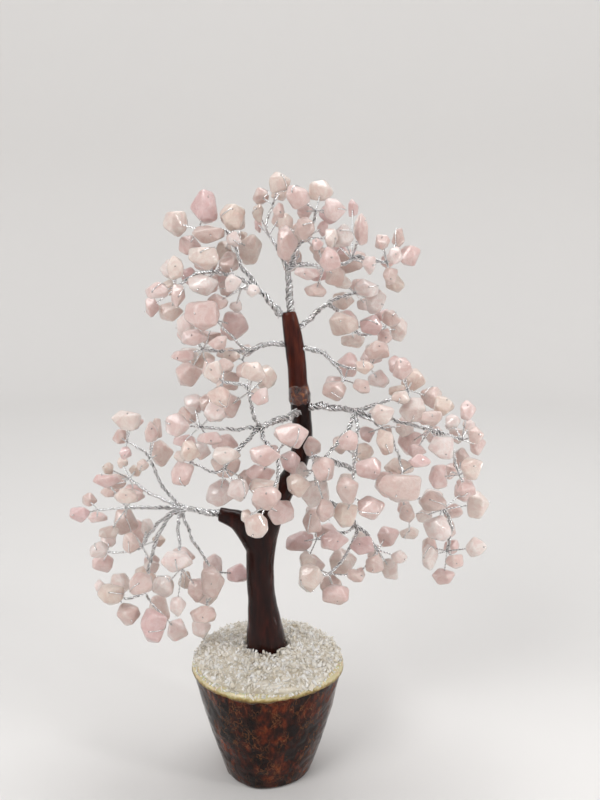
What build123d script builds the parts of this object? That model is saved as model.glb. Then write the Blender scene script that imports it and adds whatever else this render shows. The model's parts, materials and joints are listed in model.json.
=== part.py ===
from build123d import *

import math
import os
import random

import numpy as np
from scipy.spatial import ConvexHull

# A gemstone tree: a tapered log carries a heap of crushed quartz and a lacquered trunk, and ten limbs
# of twisted silvery wire spread from the trunk. Each twig of wire carries one tumbled rose quartz chip.
# Lengths are in millimetres, +Z is up, and the origin is the centre of the log's underside.

# Log base
LOG_HEIGHT = 58.5
LOG_TOP_RADIUS = 37.5
LOG_FOOT_RADIUS = 22.0
LOG_BULGE_SHARE = 0.03  # how far the sides swell half way up
LOG_WAVE_SHARE = 0.025  # how far the outline wanders from a circle
RIDGE_SHARE = 0.012  # how far the bark's ridges stand out and its furrows fall back
BARK_THICKNESS = 1.8
SOCKET_DEPTH = 30.0
SOCKET_CLEARANCE = 0.5

# Glue and crushed quartz on the log
GLUE_THICKNESS = 1.4
GLUE_INSET = 0.6
BED_RISE = 7.0  # height of the heap where it meets the trunk
BED_RIM_HEIGHT = 2.4
BED_INSET = 1.2
GRAIN_LENGTH = 4.4
GRAIN_COUNT = 60

# Trunk: a core of wires in a lacquered wrapping, with a bead of glue round the knuckle
WRAP_FOOT_RADIUS = 12.2
CORE_SHARE = 0.6  # the core's radius as a share of the wrapping's
CORE_LIMIT_SHARE = 0.42  # the same below the flare, as a share of the wrapping's foot
SEAT_GAP = 0.15  # between pieces that are glued, wrapped or threaded on each other
BEAD_THICKNESS = 0.7

# Wire
STEM_RADIUS = 2.0
BRANCHLET_RADIUS = 0.95
KNOT_RADIUS = 1.6
TWIG_RADIUS = 0.55
TWIG_ROOT_SHARE = 0.5  # how thin a twig starts
STEM_RING = 4.4  # spacing of the rings along a twisted stem
BEND_CLEARANCE = 0.5  # round a stem in its exit hole, so that it can bend
ROOT_DEPTH = 1.0  # how far a stem reaches into its exit hole
ROOT_GAP = 0.4  # between the stem's rounded root and the bottom of its hole, so that it can bend
ROOT_SHARE = 0.4  # how thin the rounded root ends

# Chips
TWIG_REACH = 14.0  # from a knot to the middle of its chips
CHIP_THICKNESS_SHARE = 0.8
CHIP_ROUGHNESS_SHARE = 0.16
CHIP_FULL_SHARE = 1.08  # a chip's corners lie so far out, for its facets to fill its outline
CHIP_GAP = 0.5
LIMB_GAP = 3.0
HIDDEN_SHARE = 0.36  # chips on the far side of each spray, per chip that the picture shows
CROWN_HALF_DEPTH = 50.0

# The picture that the places are read from: the eye's real distance, then the picture's own pixels.
# All places are measured from the middle of the trunk's foot, which stands on the glue.
EYE_DISTANCE = 390.0
EYE_PITCH_DEGREES = 12.5
PICTURE_FOCAL = 850.0
PICTURE_CENTRE = (300.0, 400.0)
PICTURE_FOOT = (267.5, 657.0)

# Counts
BARK_RIDGES = 14
BED_RINGS = 5
BED_CORNERS = 11
TRUNK_SIDES = 13
CORE_SIDES = 7
EXIT_SIDES = 8
STEM_SIDES = 5
BRANCHLET_SIDES = 3
BRANCHLET_STEPS = 3
CHIP_CORNERS = 9
SETTLE_ROUNDS = 220
HOME_EASE = 0.2  # how strongly a chip returns to where it shows, at first
SIDE_EASE = 0.25  # how readily a chip gives way sideways, where it gives way freely in depth
TWIG_SHARES = (0.2, 0.4, 0.6, 0.8)  # where along a twig its clearance is measured
LEAST_FORK_DEGREES = 36.0  # between two twigs of one knot
LEAST_BACK_DEGREES = 58.0  # between a twig and the branchlets that meet its knot


def from_eye(column, row, depth=0.0):
    """Where a picture column and row shows, measured from the eye, at a depth behind the trunk."""
    pitch = math.radians(EYE_PITCH_DEGREES)
    right = (column - PICTURE_CENTRE[0]) / PICTURE_FOCAL
    up = (PICTURE_CENTRE[1] - row) / PICTURE_FOCAL
    forward = math.cos(pitch) + up * math.sin(pitch)
    rise = up * math.cos(pitch) - math.sin(pitch)
    reach = (EYE_DISTANCE + depth) / forward
    return Vector(reach * right, EYE_DISTANCE + depth, reach * rise)


def seen(column, row, depth_share=0.0):
    """The real place of what shows at a column and row, so far behind the trunk."""
    foot = Vector(0, 0, LOG_HEIGHT + GLUE_THICKNESS) - from_eye(*PICTURE_FOOT) + Vector(0, EYE_DISTANCE, 0)
    return foot + from_eye(column, row, depth_share * CROWN_HALF_DEPTH) - Vector(0, EYE_DISTANCE, 0)


def real_size(pixels, place):
    """The real length of so many pixels at a real place."""
    pitch = math.radians(EYE_PITCH_DEGREES)
    eye_height = LOG_HEIGHT + GLUE_THICKNESS - from_eye(*PICTURE_FOOT).Z
    forward = (EYE_DISTANCE + place.Y) * math.cos(pitch) + (eye_height - place.Z) * math.sin(pitch)
    return pixels * forward / PICTURE_FOCAL


# Trunk, from the bed up: picture column and row of its middle, and its radius as a share of the foot's
LOWER_TRUNK = [
    (266.5, 643, 0.85),
    (265, 625, 0.745),
    (262.5, 602, 0.60),
    (260.5, 578, 0.57),
    (261, 550, 0.59),
    (268, 522, 0.55),
    (281, 494, 0.47),
    (296, 468, 0.41),
    (302.5, 440, 0.395),
    (301.5, 416, 0.40),
    (300, 401, 0.39),
]
UPPER_TRUNK = [
    (300, 400, 0.41),
    (298.5, 389, 0.385),
    (297, 365, 0.38),
    (294.5, 346, 0.385),
    (291.5, 328, 0.345),
    (288.5, 312, 0.28),
]
STUB = [(261, 548, 0.57), (252, 533, 0.56), (240, 521.5, 0.45), (229, 517, 0.335), (219, 514, 0.27)]
BEAD = [(299.9, 399, 0.415), (299.2, 393, 0.40), (298.2, 385, 0.385)]

TIP_LIMBS = ("crest", "left_low")  # these leave by the trunk's tip and by the stub's
FULL_STEM_CHIPS = 90
BEND_ROWS = 6.0  # picture rows above and below a mouth that give the wrapping's direction

# Limbs. Each leaves the trunk at a picture place, heads for its bend and divides from its fork on.
# A spray is a knot (column, row, depth share), the number of the spray that its branchlet goes on from
# or FORK, and its chips: column, row, width and height in pixels.
FORK = -1
LIMBS = {
    "crest": {
        "root": (290.5, 310, 0.0),
        "bend": (289, 290, 0.0),
        "fork": (288, 276, -0.02),
        "sprays": [
            ((305, 238, -0.12), FORK, [(304, 228, 22, 24), (313, 243, 12, 12), (329, 230, 14, 20),
                                       (289, 227, 17, 24)]),
            ((316, 211, -0.18), 0, [(298, 197, 23, 24), (321, 196, 25, 22), (334, 209, 24, 24),
                                    (303, 212, 18, 18)]),
            ((269, 235, 0.06), FORK, [(256, 211, 10, 20), (268, 216, 16, 22)]),
            ((273, 204, 0.08), 2, [(279, 182, 22, 21), (265, 196, 17, 18), (279, 211, 11, 16)]),
            ((299, 256, 0.10), FORK, [(285, 253, 24, 34), (294, 238, 18, 18)]),
            ((324, 267, -0.20), FORK, [(326, 257, 22, 24), (333, 275, 18, 20), (309, 272, 26, 15),
                                       (316, 289, 22, 16), (320, 247, 14, 12)]),
            ((352, 259, -0.06), 5, [(342, 237, 20, 26), (352, 251, 30, 26), (362, 231, 14, 34),
                                    (374, 247, 11, 18), (370, 264, 15, 22)]),
            ((387, 263, 0.02), 6, [(384, 243, 16, 17), (399, 239, 13, 18), (392, 258, 16, 18),
                                   (407, 255, 24, 20), (391, 272, 16, 18), (390, 286, 18, 18)]),
        ],
    },
    "crown_left": {
        "root": (291.0, 330, 0.0),
        "bend": (272, 303, -0.02),
        "fork": (262, 293, -0.04),
        "sprays": [
            ((231, 238, 0.08), FORK, [(232, 219, 25, 25), (224, 248, 20, 22), (233, 237, 16, 16),
                                      (250, 239, 22, 30)]),
            ((199, 229, 0.12), 0, [(207, 207, 29, 32), (178, 226, 26, 28), (209, 233, 30, 18),
                                   (192, 244, 26, 20)]),
            ((214, 272, 0.02), FORK, [(204, 262, 30, 26), (222, 261, 20, 22), (201, 282, 33, 22),
                                      (217, 274, 20, 22)]),
            ((241, 289, -0.26), FORK, [(232, 283, 20, 18), (245, 275, 19, 16), (253, 290, 14, 14),
                                       (219, 300, 22, 16)]),
            ((176, 288, 0.10), 2, [(190, 272, 18, 26), (170, 269, 20, 19), (158, 291, 25, 18),
                                   (152, 307, 15, 20), (178, 291, 14, 22), (172, 314, 24, 18)]),
        ],
    },
    "left_upper": {
        "root": (293.5, 345, 0.0),
        "bend": (268, 342, -0.02),
        "fork": (258, 347, -0.04),
        "sprays": [
            ((218, 321, -0.10), FORK, [(201, 316, 32, 30), (232, 325, 28, 28), (187, 327, 18, 26)]),
            ((203, 349, 0.00), FORK, [(205, 338, 26, 16), (187, 340, 20, 18), (183, 356, 24, 14),
                                       (204, 358, 26, 18), (219, 348, 20, 14), (188, 374, 29, 23)]),
            ((242, 360, 0.04), FORK, [(243, 353, 18, 14), (226, 354, 20, 14), (257, 371, 12, 14)]),
        ],
    },
    "right_upper": {
        "root": (292.0, 334, 0.0),
        "bend": (312, 317, 0.14),
        "fork": (323, 307, 0.26),
        "sprays": [
            ((355, 293, 0.42), FORK, [(339, 283, 16, 12), (348, 302, 22, 16), (367, 288, 24, 20),
                                      (361, 303, 16, 14), (379, 302, 22, 24)]),
            ((352, 328, 0.36), FORK, [(344, 323, 30, 24), (357, 339, 24, 16), (370, 325, 22, 20)]),
            ((383, 330, 0.50), 1, [(388, 316, 20, 16), (397, 329, 16, 24), (385, 337, 14, 16),
                                   (374, 347, 18, 14)]),
        ],
    },
    "right_small": {
        "root": (295.0, 350, 0.0),
        "bend": (318, 346, -0.06),
        "fork": (329, 358, -0.10),
        "sprays": [
            ((345, 380, -0.16), FORK, [(335, 390, 24, 22), (345, 370, 24, 26), (362, 386, 18, 16)]),
            ((370, 368, -0.02), FORK, [(376, 359, 26, 20), (379, 379, 22, 20), (358, 360, 18, 14)]),
        ],
    },
    "left_front": {
        "root": (301.3, 411, 0.0),
        "bend": (289, 416, -0.30),
        "fork": (266, 425, -0.46),
        "sprays": [
            ((249, 392, -0.60), FORK, [(243, 367, 24, 20), (258, 380, 20, 22), (261, 397, 20, 18),
                                       (238, 411, 24, 26)]),
            ((223, 382, -0.58), 0, [(214, 375, 18, 24), (227, 361, 18, 16), (219, 395, 26, 22),
                                    (207, 403, 16, 16)]),
            ((200, 427, -0.50), FORK, [(221, 417, 22, 21), (193, 408, 25, 20), (177, 425, 26, 24),
                                       (190, 438, 22, 14), (212, 441, 24, 14)]),
            ((224, 468, -0.60), FORK, [(222, 452, 32, 20), (232, 470, 30, 24), (240, 490, 21, 24),
                                       (206, 488, 32, 28)]),
            ((191, 462, -0.54), 3, [(193, 451, 22, 20), (181, 457, 14, 12), (183, 471, 24, 26)]),
            ((275, 454, -0.68), FORK, [(292, 436, 34, 24), (290, 462, 20, 24), (264, 456, 32, 20),
                                       (262, 475, 30, 20)]),
            ((266, 506, -0.84), 5, [(266, 497, 31, 28), (276, 510, 24, 24), (257, 526, 25, 27),
                                    (253, 511, 14, 14)]),
        ],
    },
    "right_main": {
        "root": (301.0, 407, 0.0),
        "bend": (328, 406, -0.10),
        "fork": (346, 409, -0.20),
        "sprays": [
            ((314, 470, -0.50), FORK, [(294, 485, 24, 24), (315, 490, 30, 26), (325, 469, 26, 26),
                                       (321, 452, 18, 20), (326, 510, 20, 24)]),
            ((355, 456, -0.52), FORK, [(349, 441, 20, 22), (362, 452, 22, 22), (371, 469, 26, 24)]),
            ((353, 497, -0.62), 1, [(347, 490, 22, 26), (345, 515, 24, 26), (373, 506, 30, 22)]),
            ((382, 428, -0.34), FORK, [(382, 417, 24, 20), (373, 434, 18, 18), (391, 442, 18, 28),
                                       (400, 431, 18, 22)]),
            ((408, 390, -0.16), FORK, [(399, 366, 20, 20), (409, 381, 26, 22), (398, 398, 20, 16),
                                       (428, 398, 22, 24), (411, 412, 26, 24)]),
            ((403, 472, -0.62), 3, [(394, 489, 40, 30), (399, 468, 28, 20), (420, 462, 22, 16)]),
            ((430, 430, -0.30), FORK, [(432, 418, 20, 16), (419, 438, 24, 24), (442, 448, 28, 22),
                                       (412, 454, 22, 14), (444, 406, 22, 20)]),
            ((462, 440, -0.20), 6, [(451, 424, 18, 20), (462, 431, 16, 18), (473, 432, 16, 20),
                                    (474, 447, 18, 20)]),
            ((459, 475, -0.26), 6, [(471, 468, 22, 24), (457, 474, 16, 16), (466, 490, 20, 16),
                                    (444, 477, 18, 26)]),
        ],
    },
    "right_low": {
        "root": (299.0, 455, 0.0),
        "bend": (345, 462, 0.36),
        "fork": (392, 486, 0.38),
        "sprays": [
            ((441, 510, 0.30), FORK, [(433, 500, 26, 24), (457, 508, 20, 18), (476, 508, 22, 26),
                                      (424, 516, 16, 16), (438, 529, 28, 28)]),
            ((409, 522, 0.36), FORK, [(407, 512, 16, 20), (409, 534, 20, 15)]),
            ((447, 551, 0.34), 0, [(459, 529, 20, 22), (451, 544, 16, 16), (429, 556, 19, 27),
                                   (444, 576, 25, 17), (455, 561, 18, 16)]),
        ],
    },
    "right_hanging": {
        "root": (285.0, 488, 0.0),
        "bend": (325, 494, 0.30),
        "fork": (352, 520, 0.30),
        "sprays": [
            ((317, 539, 0.20), FORK, [(312, 520, 18, 24), (301, 545, 28, 24), (334, 541, 30, 20),
                                      (307, 559, 20, 20)]),
            ((329, 574, 0.16), FORK, [(309, 578, 28, 28), (339, 566, 28, 28), (335, 594, 26, 22),
                                      (349, 556, 18, 14)]),
            ((378, 550, 0.24), FORK, [(362, 545, 24, 18), (385, 536, 24, 22), (374, 565, 18, 22),
                                      (390, 569, 18, 24), (399, 557, 16, 14), (360, 573, 11, 11)]),
        ],
    },
    "left_low": {
        "root": (219.0, 514, 0.0),
        "bend": (206, 511, 0.0),
        "fork": (192, 509, 0.0),
        "sprays": [
            ((150, 459, 0.08), FORK, [(147, 433, 15, 25), (158, 447, 25, 26), (143, 465, 12, 12)]),
            ((127, 442, 0.12), 0, [(127, 420, 29, 19), (121, 437, 17, 16), (125, 453, 12, 13)]),
            ((130, 479, 0.26), FORK, [(109, 470, 14, 14), (126, 473, 12, 12), (115, 482, 22, 14),
                                      (133, 487, 20, 14)]),
            ((127, 508, -0.10), FORK, [(126, 497, 24, 18), (121, 523, 28, 26), (99, 495, 26, 14),
                                       (101, 527, 20, 14)]),
            ((98, 510, -0.10), 3, [(79, 514, 20, 17), (95, 513, 20, 12)]),
            ((142, 546, 0.16), FORK, [(138, 537, 18, 20), (148, 552, 14, 16), (151, 568, 16, 14),
                                      (122, 556, 22, 32)]),
            ((108, 552, 0.22), 5, [(102, 544, 20, 20), (102, 563, 20, 20)]),
            ((146, 588, -0.04), FORK, [(138, 585, 26, 26)]),
            ((119, 598, -0.02), 7, [(114, 593, 28, 26), (100, 587, 12, 14), (129, 614, 24, 24)]),
            ((161, 613, -0.08), 7, [(152, 625, 28, 36), (176, 630, 22, 22)]),
            ((182, 568, -0.26), FORK, [(177, 561, 30, 22), (172, 584, 20, 24), (177, 606, 16, 24),
                                       (195, 588, 20, 26)]),
            ((214, 572, 0.00), FORK, [(212, 581, 22, 34), (233, 578, 24, 22)]),
            ((207, 603, 0.04), 11, [(203, 612, 26, 18), (201, 628, 20, 20)]),
        ],
    },
}


def bezier(a, b, c, share):
    """A point on the curve that leaves a towards b and arrives at c."""
    return a * (1 - share) ** 2 + b * (2 * share * (1 - share)) + c * share**2


def square_axes(along):
    """Two directions square to a direction and to each other."""
    helper = Vector(0, 0, 1) if abs(along.Z) < 0.9 else Vector(1, 0, 0)
    side = along.cross(helper).normalized()
    return side, side.cross(along).normalized()


def ring(middle, along, radius, sides, turn=0.0):
    """The corners of a regular polygon square to a direction."""
    side, over = square_axes(along)
    angles = [turn + 2 * math.pi * i / sides for i in range(sides)]
    return [middle + side * (radius * math.cos(a)) + over * (radius * math.sin(a)) for a in angles]


def rings_along(route, radii, sides, turn=0.0, first=None):
    """Rings square to a route, carried along it without twisting but for the turn from each to the next."""
    ways = [(b - a).normalized() for a, b in zip(route, route[1:])]
    along = [first or ways[0]] + [(a + b).normalized() for a, b in zip(ways, ways[1:])] + [ways[-1]]
    side, _ = square_axes(along[0])
    rings = []
    for i, (middle, way, radius) in enumerate(zip(route, along, radii)):
        side = (side - way * side.dot(way)).normalized()
        over = side.cross(way)
        angles = [i * turn + 2 * math.pi * k / sides for k in range(sides)]
        rings.append([middle + (side * math.cos(t) + over * math.sin(t)) * radius for t in angles])
    return rings


def skin(rings):
    """A closed solid with flat facets between rings of as many corners, and flat ends."""
    faces = [Face(Wire.make_polygon(rings[0])), Face(Wire.make_polygon(rings[-1]))]
    count = len(rings[0])
    for low, high in zip(rings, rings[1:]):
        for i in range(count):
            j = (i + 1) % count
            faces.append(Face(Wire.make_polygon([low[i], low[j], high[i]])))
            faces.append(Face(Wire.make_polygon([low[j], high[j], high[i]])))
    return Solid(Shell(faces)).clean()


def twisted_bundle(route, radii, sides):
    """A bundle whose facets wind round it as the flutes of twisted wires do."""
    return skin(rings_along(route, radii, sides, math.pi / sides))


# Base


def log_ring(radius, height):
    """The log's corners at a height: a circle that wanders a little, with the bark's ridges and furrows."""
    points = []
    for i in range(2 * BARK_RIDGES):
        angle = math.pi * i / BARK_RIDGES
        wave = math.cos(3 * angle + 0.6) * 0.6 + math.cos(5 * angle + 2.0) * 0.4
        ridge = RIDGE_SHARE if i % 2 == 0 else -RIDGE_SHARE
        reach = radius * (1 + LOG_WAVE_SHARE * wave + ridge)
        points.append(Vector(reach * math.cos(angle), reach * math.sin(angle), height))
    return points


def log_form(inset=0.0):
    """The log's tapered form, a little swollen half way up."""
    middle = (LOG_TOP_RADIUS + LOG_FOOT_RADIUS) / 2 + LOG_TOP_RADIUS * LOG_BULGE_SHARE
    return skin([log_ring(LOG_FOOT_RADIUS - inset, 0), log_ring(middle - inset, LOG_HEIGHT / 2),
                 log_ring(LOG_TOP_RADIUS - inset, LOG_HEIGHT)])


def log_heartwood():
    """The log inside its bark, with the blind hole that the trunk's core is planted in."""
    bore = Cylinder(core_radius(1.0) + SOCKET_CLEARANCE, SOCKET_DEPTH,
                    align=(Align.CENTER, Align.CENTER, Align.MAX))
    return log_form(BARK_THICKNESS + SEAT_GAP) - Pos(0, 0, LOG_HEIGHT) * bore


def log_bark():
    return log_form() - log_form(BARK_THICKNESS)


def glue_layer():
    """The glue that wets the log's top, up to the core."""
    radius = LOG_TOP_RADIUS - GLUE_INSET
    disc = skin([log_ring(radius, LOG_HEIGHT), log_ring(radius, LOG_HEIGHT + GLUE_THICKNESS)])
    hole = Cylinder(core_radius(1.0) + SEAT_GAP, 2 * GLUE_THICKNESS)
    return disc - Pos(0, 0, LOG_HEIGHT + GLUE_THICKNESS / 2) * hole


def bed_height(radius):
    """How high the heap of crushed quartz stands on the glue, at a radius from the middle."""
    edge = LOG_TOP_RADIUS - BED_INSET
    share = min(1.0, max(0.0, (edge - radius) / (edge - WRAP_FOOT_RADIUS)))
    return BED_RIM_HEIGHT + (BED_RISE - BED_RIM_HEIGHT) * math.sin(share * math.pi / 2)


def bed_corners():
    """The corners of the heap of crushed quartz, a rough dome on the glue."""
    floor = LOG_HEIGHT + GLUE_THICKNESS
    edge = LOG_TOP_RADIUS - BED_INSET
    dice = random.Random("bed")
    corners = ring(Vector(0, 0, floor), Vector(0, 0, 1), edge, 2 * BED_CORNERS)
    for i in range(BED_RINGS):
        radius = edge * math.cos(0.5 * math.pi * i / BED_RINGS)
        for corner in ring(Vector(0, 0, floor), Vector(0, 0, 1), radius, BED_CORNERS, 0.7 * i):
            rough = GRAIN_LENGTH * dice.uniform(-0.12, 0.12)
            corners.append(corner + Vector(0, 0, bed_height(radius) + rough))
    return corners


def resting_height(sides, corners):
    """The height at which a flat underside with these corners rests on the heap, given its sides' planes."""
    upward = sides[sides[:, 2] > 0.1]
    middle = sum(corners, Vector()) * (1 / len(corners))
    spots = corners + [(a + b) * 0.5 for a, b in zip(corners, corners[1:] + corners[:1])] + [middle]
    spots += [(corner + middle) * 0.5 for corner in corners]
    tops = [(-(upward[:, :2] @ (p.X, p.Y) + upward[:, 3]) / upward[:, 2]).min() for p in spots]
    return float(max(tops))


def grain_solid(middle, length, sides, dice):
    """A splinter of quartz that stands on four corners and comes up to three."""
    spin = dice.uniform(0, 2 * math.pi)
    width = length * dice.uniform(0.45, 0.7)
    along = Vector(math.cos(spin), math.sin(spin), 0) * (length / 2)
    across = Vector(-math.sin(spin), math.cos(spin), 0) * (width / 2)
    low = [middle + along * a + across * b for a, b in ((-0.8, -0.8), (0.9, -0.5), (0.6, 0.8), (-0.7, 0.7))]
    rest = Vector(0, 0, resting_height(sides, low) + SEAT_GAP)
    low = [corner + rest for corner in low]
    middle += rest
    high = []
    for corner in low[:3]:
        inward = (middle - corner) * dice.uniform(0.1, 0.6)
        high.append(corner + inward + Vector(0, 0, width * dice.uniform(0.6, 1.3)))
    return ConvexPolyhedron(low + high)


def quartz_grains():
    """Splinters that stand up from the heap, each just clear of its slope."""
    sides = ConvexHull(np.array([tuple(corner) for corner in bed_corners()])).equations
    edge = LOG_TOP_RADIUS - BED_INSET - GRAIN_LENGTH / 2
    inner = WRAP_FOOT_RADIUS + GRAIN_LENGTH * 0.6
    golden = math.pi * (3 - math.sqrt(5))
    dice = random.Random("grains")
    grains = []
    for i in range(GRAIN_COUNT):
        radius = math.sqrt(inner**2 + (edge**2 - inner**2) * (i + 0.5) / GRAIN_COUNT)
        angle = i * golden
        length = GRAIN_LENGTH * dice.uniform(0.7, 1.0)
        middle = Vector(radius * math.cos(angle), radius * math.sin(angle), 0)
        grains.append(grain_solid(middle, length, sides, dice))
    return grains


# Trunk


def trunk_places(points, extra=0.0):
    """Middles and radii of the trunk at picture places."""
    return [(seen(column, row), share * WRAP_FOOT_RADIUS + extra) for column, row, share in points]


def trunk_form(places, sides=TRUNK_SIDES, first=None):
    """A solid through round sections square to the line of their middles."""
    middles, radii = zip(*places)
    return skin(rings_along(middles, radii, sides, first=first))


def wrap_form(extra=0.0):
    """The lower wrapping's outer form: it flares upright from the glue, and has a stub limb."""
    foot = [(Vector(0, 0, LOG_HEIGHT + GLUE_THICKNESS), WRAP_FOOT_RADIUS + extra)]
    main = trunk_form(foot + trunk_places(LOWER_TRUNK, extra), first=Vector(0, 0, 1))
    return main + trunk_form(trunk_places(STUB, extra))


def core_radius(share):
    """The core's radius where the wrapping's is so great a share of its foot."""
    return WRAP_FOOT_RADIUS * min(CORE_SHARE * share, CORE_LIMIT_SHARE)


def core_points(points):
    """The same picture places with the core's radius for the wrapping's."""
    return [(column, row, core_radius(share) / WRAP_FOOT_RADIUS) for column, row, share in points]


def wire_core(extra=0.0):
    """The bundle of wires, from its socket in the log up to the trunk's tip and out to the stub's."""
    heights = (LOG_HEIGHT - SOCKET_DEPTH + SEAT_GAP, LOG_HEIGHT, LOG_HEIGHT + GLUE_THICKNESS)
    start = [(Vector(0, 0, height), core_radius(1.0) + extra) for height in heights]
    places = trunk_places(core_points(LOWER_TRUNK[1:-1] + UPPER_TRUNK[1:-1]), extra)
    main = trunk_form(start + places, CORE_SIDES)
    arm = trunk_places(core_points(STUB), extra)
    arm[-1] = (arm[-1][0] + (arm[-2][0] - arm[-1][0]).normalized() * (3 * ROOT_DEPTH), arm[-1][1])
    return main + trunk_form(arm, CORE_SIDES)


def knuckle_bead():
    """The bead of glue that hides the joint of the two wrappings."""
    (rim, wide), (belly, swell), (neck, narrow) = trunk_places(BEAD, BEAD_THICKNESS)
    half = BEAD_THICKNESS / 2
    bead = skin(rings_along([rim, belly, neck], [wide - half, swell, narrow - half], TRUNK_SIDES))
    return bead - trunk_form(trunk_places(UPPER_TRUNK, SEAT_GAP))


# Limbs


def wrap_at(row):
    """The wrapping's radius and direction at a picture row."""
    points = sorted(LOWER_TRUNK + UPPER_TRUNK, key=lambda p: p[1])
    columns, rows, shares = zip(*points)
    low, high = row + BEND_ROWS, row - BEND_ROWS
    ends = [seen(float(np.interp(r, rows, columns)), r) for r in (low, high)]
    return float(np.interp(row, rows, shares)) * WRAP_FOOT_RADIUS, (ends[1] - ends[0]).normalized()


def stem_of(name):
    """A limb's mouth in the wrapping, its direction there, and the guiding points of its route."""
    limb = LIMBS[name]
    start, bend, fork = (seen(*limb[key]) for key in ("root", "bend", "fork"))
    along = (bend - start).normalized()
    mouth = start
    if name not in TIP_LIMBS:
        radius, axis = wrap_at(limb["root"][1])
        mouth = start + along * (radius / along.cross(axis).length)
    return mouth, along, (mouth - along * ROOT_DEPTH, bend, fork)


def stem_radii(name, count):
    """A stem is as thick as the wires it carries, and tapers a little towards its fork."""
    chips = sum(len(shown) for _, _, shown in LIMBS[name]["sprays"])
    start = STEM_RADIUS * min(1.0, 0.6 + chips / FULL_STEM_CHIPS)
    return [start * (1 - 0.25 * i / (count - 1)) for i in range(count)]


def stem_route(name):
    root, bend, fork = stem_of(name)[2]
    steps = max(3, round(((bend - root).length + (fork - bend).length) / STEM_RING))
    return [bezier(root, bend, fork, i / steps) for i in range(steps + 1)]


def branchlet_route(name, spray):
    """A branchlet goes on from the fork or from another spray's knot, and turns towards its own knot."""
    place, carrier, _ = LIMBS[name]["sprays"][spray]
    if carrier == FORK:
        before, start = stem_of(name)[2][1:]
    else:
        before, start = branchlet_route(name, carrier)[-2:]
    knot = seen(*place)
    turn = start + (start - before).normalized() * (0.38 * (knot - start).length)
    return [bezier(start, turn, knot, i / BRANCHLET_STEPS) for i in range(BRANCHLET_STEPS + 1)]


def knot_corners(knot, along):
    """The corners of the twist where the wires of a branchlet part: a short double cone."""
    half = along * KNOT_RADIUS
    return [knot - half * 0.9, knot + half * 0.7] + ring(knot, along, KNOT_RADIUS, 5)


def limb_wires(name):
    """A limb's twisted stem, its branchlets and the knots where the twigs part, as one bundle."""
    route = stem_route(name)
    radii = stem_radii(name, len(route))
    shoulder = route[0] + (route[1] - route[0]).normalized() * (ROOT_DEPTH / 2)
    route = [route[0], shoulder] + route[1:]
    radii = [radii[0] * ROOT_SHARE] + radii
    pieces = [twisted_bundle(route, radii, STEM_SIDES)]
    for spray in range(len(LIMBS[name]["sprays"])):
        path = branchlet_route(name, spray)
        pieces.append(twisted_bundle(path, [BRANCHLET_RADIUS] * len(path), BRANCHLET_SIDES))
        pieces.append(ConvexPolyhedron(knot_corners(path[-1], (path[-1] - path[-2]).normalized())))
    return pieces[0].fuse(*pieces[1:])


def exit_hole(name):
    """The hole that a stem leaves the wrapping by."""
    mouth, along, _ = stem_of(name)
    radius = stem_radii(name, 2)[0] + BEND_CLEARANCE
    ends = (mouth - along * (ROOT_DEPTH + ROOT_GAP), mouth + along * (4 * ROOT_DEPTH))
    return skin([ring(end, along, radius, EXIT_SIDES) for end in ends])


# Chips


class Chip:
    """One tumbled chip: its place, its half sizes, and the knot that its twig starts from."""

    def __init__(self, limb, spray, knot, place, half, seed):
        self.limb, self.spray = limb, spray
        self.knot, self.place, self.half, self.seed = knot, place, half, seed


def shown_chips(limb, spray, dice):
    """The chips that the picture shows, each behind or before its knot as far as its twig reaches."""
    place, _, shown = LIMBS[limb]["sprays"][spray]
    knot = seen(*place)
    made = []
    for number, (column, row, width, height) in enumerate(shown):
        across = (seen(column, row, place[2]) - knot).length
        sink = math.sqrt(max(TWIG_REACH**2 - across**2, (0.15 * TWIG_REACH) ** 2))
        side = -1 if number % 2 == 0 else 1
        centre = seen(column, row, place[2] + side * sink / CROWN_HALF_DEPTH)
        sizes = (width, min(width, height) * CHIP_THICKNESS_SHARE, height)
        half = [real_size(size, centre) / 2 for size in sizes]
        made.append(Chip(limb, spray, knot, centre, half, dice.random()))
    return made


def hidden_chips(limb, spray, dice):
    """Chips on the far side of a spray, behind those that the picture shows."""
    place, _, shown = LIMBS[limb]["sprays"][spray]
    knot = seen(*place)
    made = []
    for number in range(round(HIDDEN_SHARE * len(shown) + 0.3)):
        column, row, width, height = shown[(number * 2) % len(shown)]
        centre = knot + (seen(column, row, place[2]) - knot) * dice.uniform(0.5, 0.8)
        centre.Y = knot.Y + TWIG_REACH * dice.uniform(0.7, 1.05)
        sizes = (width * 0.85, min(width, height) * 0.75, height * 0.85)
        half = [real_size(size, centre) / 2 for size in sizes]
        made.append(Chip(limb, spray, knot, centre, half, dice.random()))
    return made


def all_chips():
    chips = []
    for limb in LIMBS:
        for spray in range(len(LIMBS[limb]["sprays"])):
            dice = random.Random(f"{limb} {spray}")
            chips += shown_chips(limb, spray, dice) + hidden_chips(limb, spray, dice)
    return chips


def fixed_stretches():
    """Straight stretches of wire and trunk: two ends, a radius, the limb's number and the spray's."""
    stretches = []
    for index, name in enumerate(LIMBS):
        route = stem_route(name)
        stretches += [(a, b, STEM_RADIUS, index, -1) for a, b in zip(route, route[1:])]
        for spray in range(len(LIMBS[name]["sprays"])):
            path = branchlet_route(name, spray)
            stretches += [(a, b, BRANCHLET_RADIUS, index, spray) for a, b in zip(path, path[1:])]
            stretches.append((path[-1], path[-1], KNOT_RADIUS, index, spray))
    for points in (LOWER_TRUNK, UPPER_TRUNK, STUB):
        places = [(seen(c, r), share * WRAP_FOOT_RADIUS) for c, r, share in points]
        stretches += [(a, b, max(ra, rb), -1, -1) for (a, ra), (b, rb) in zip(places, places[1:])]
    return stretches


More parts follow.
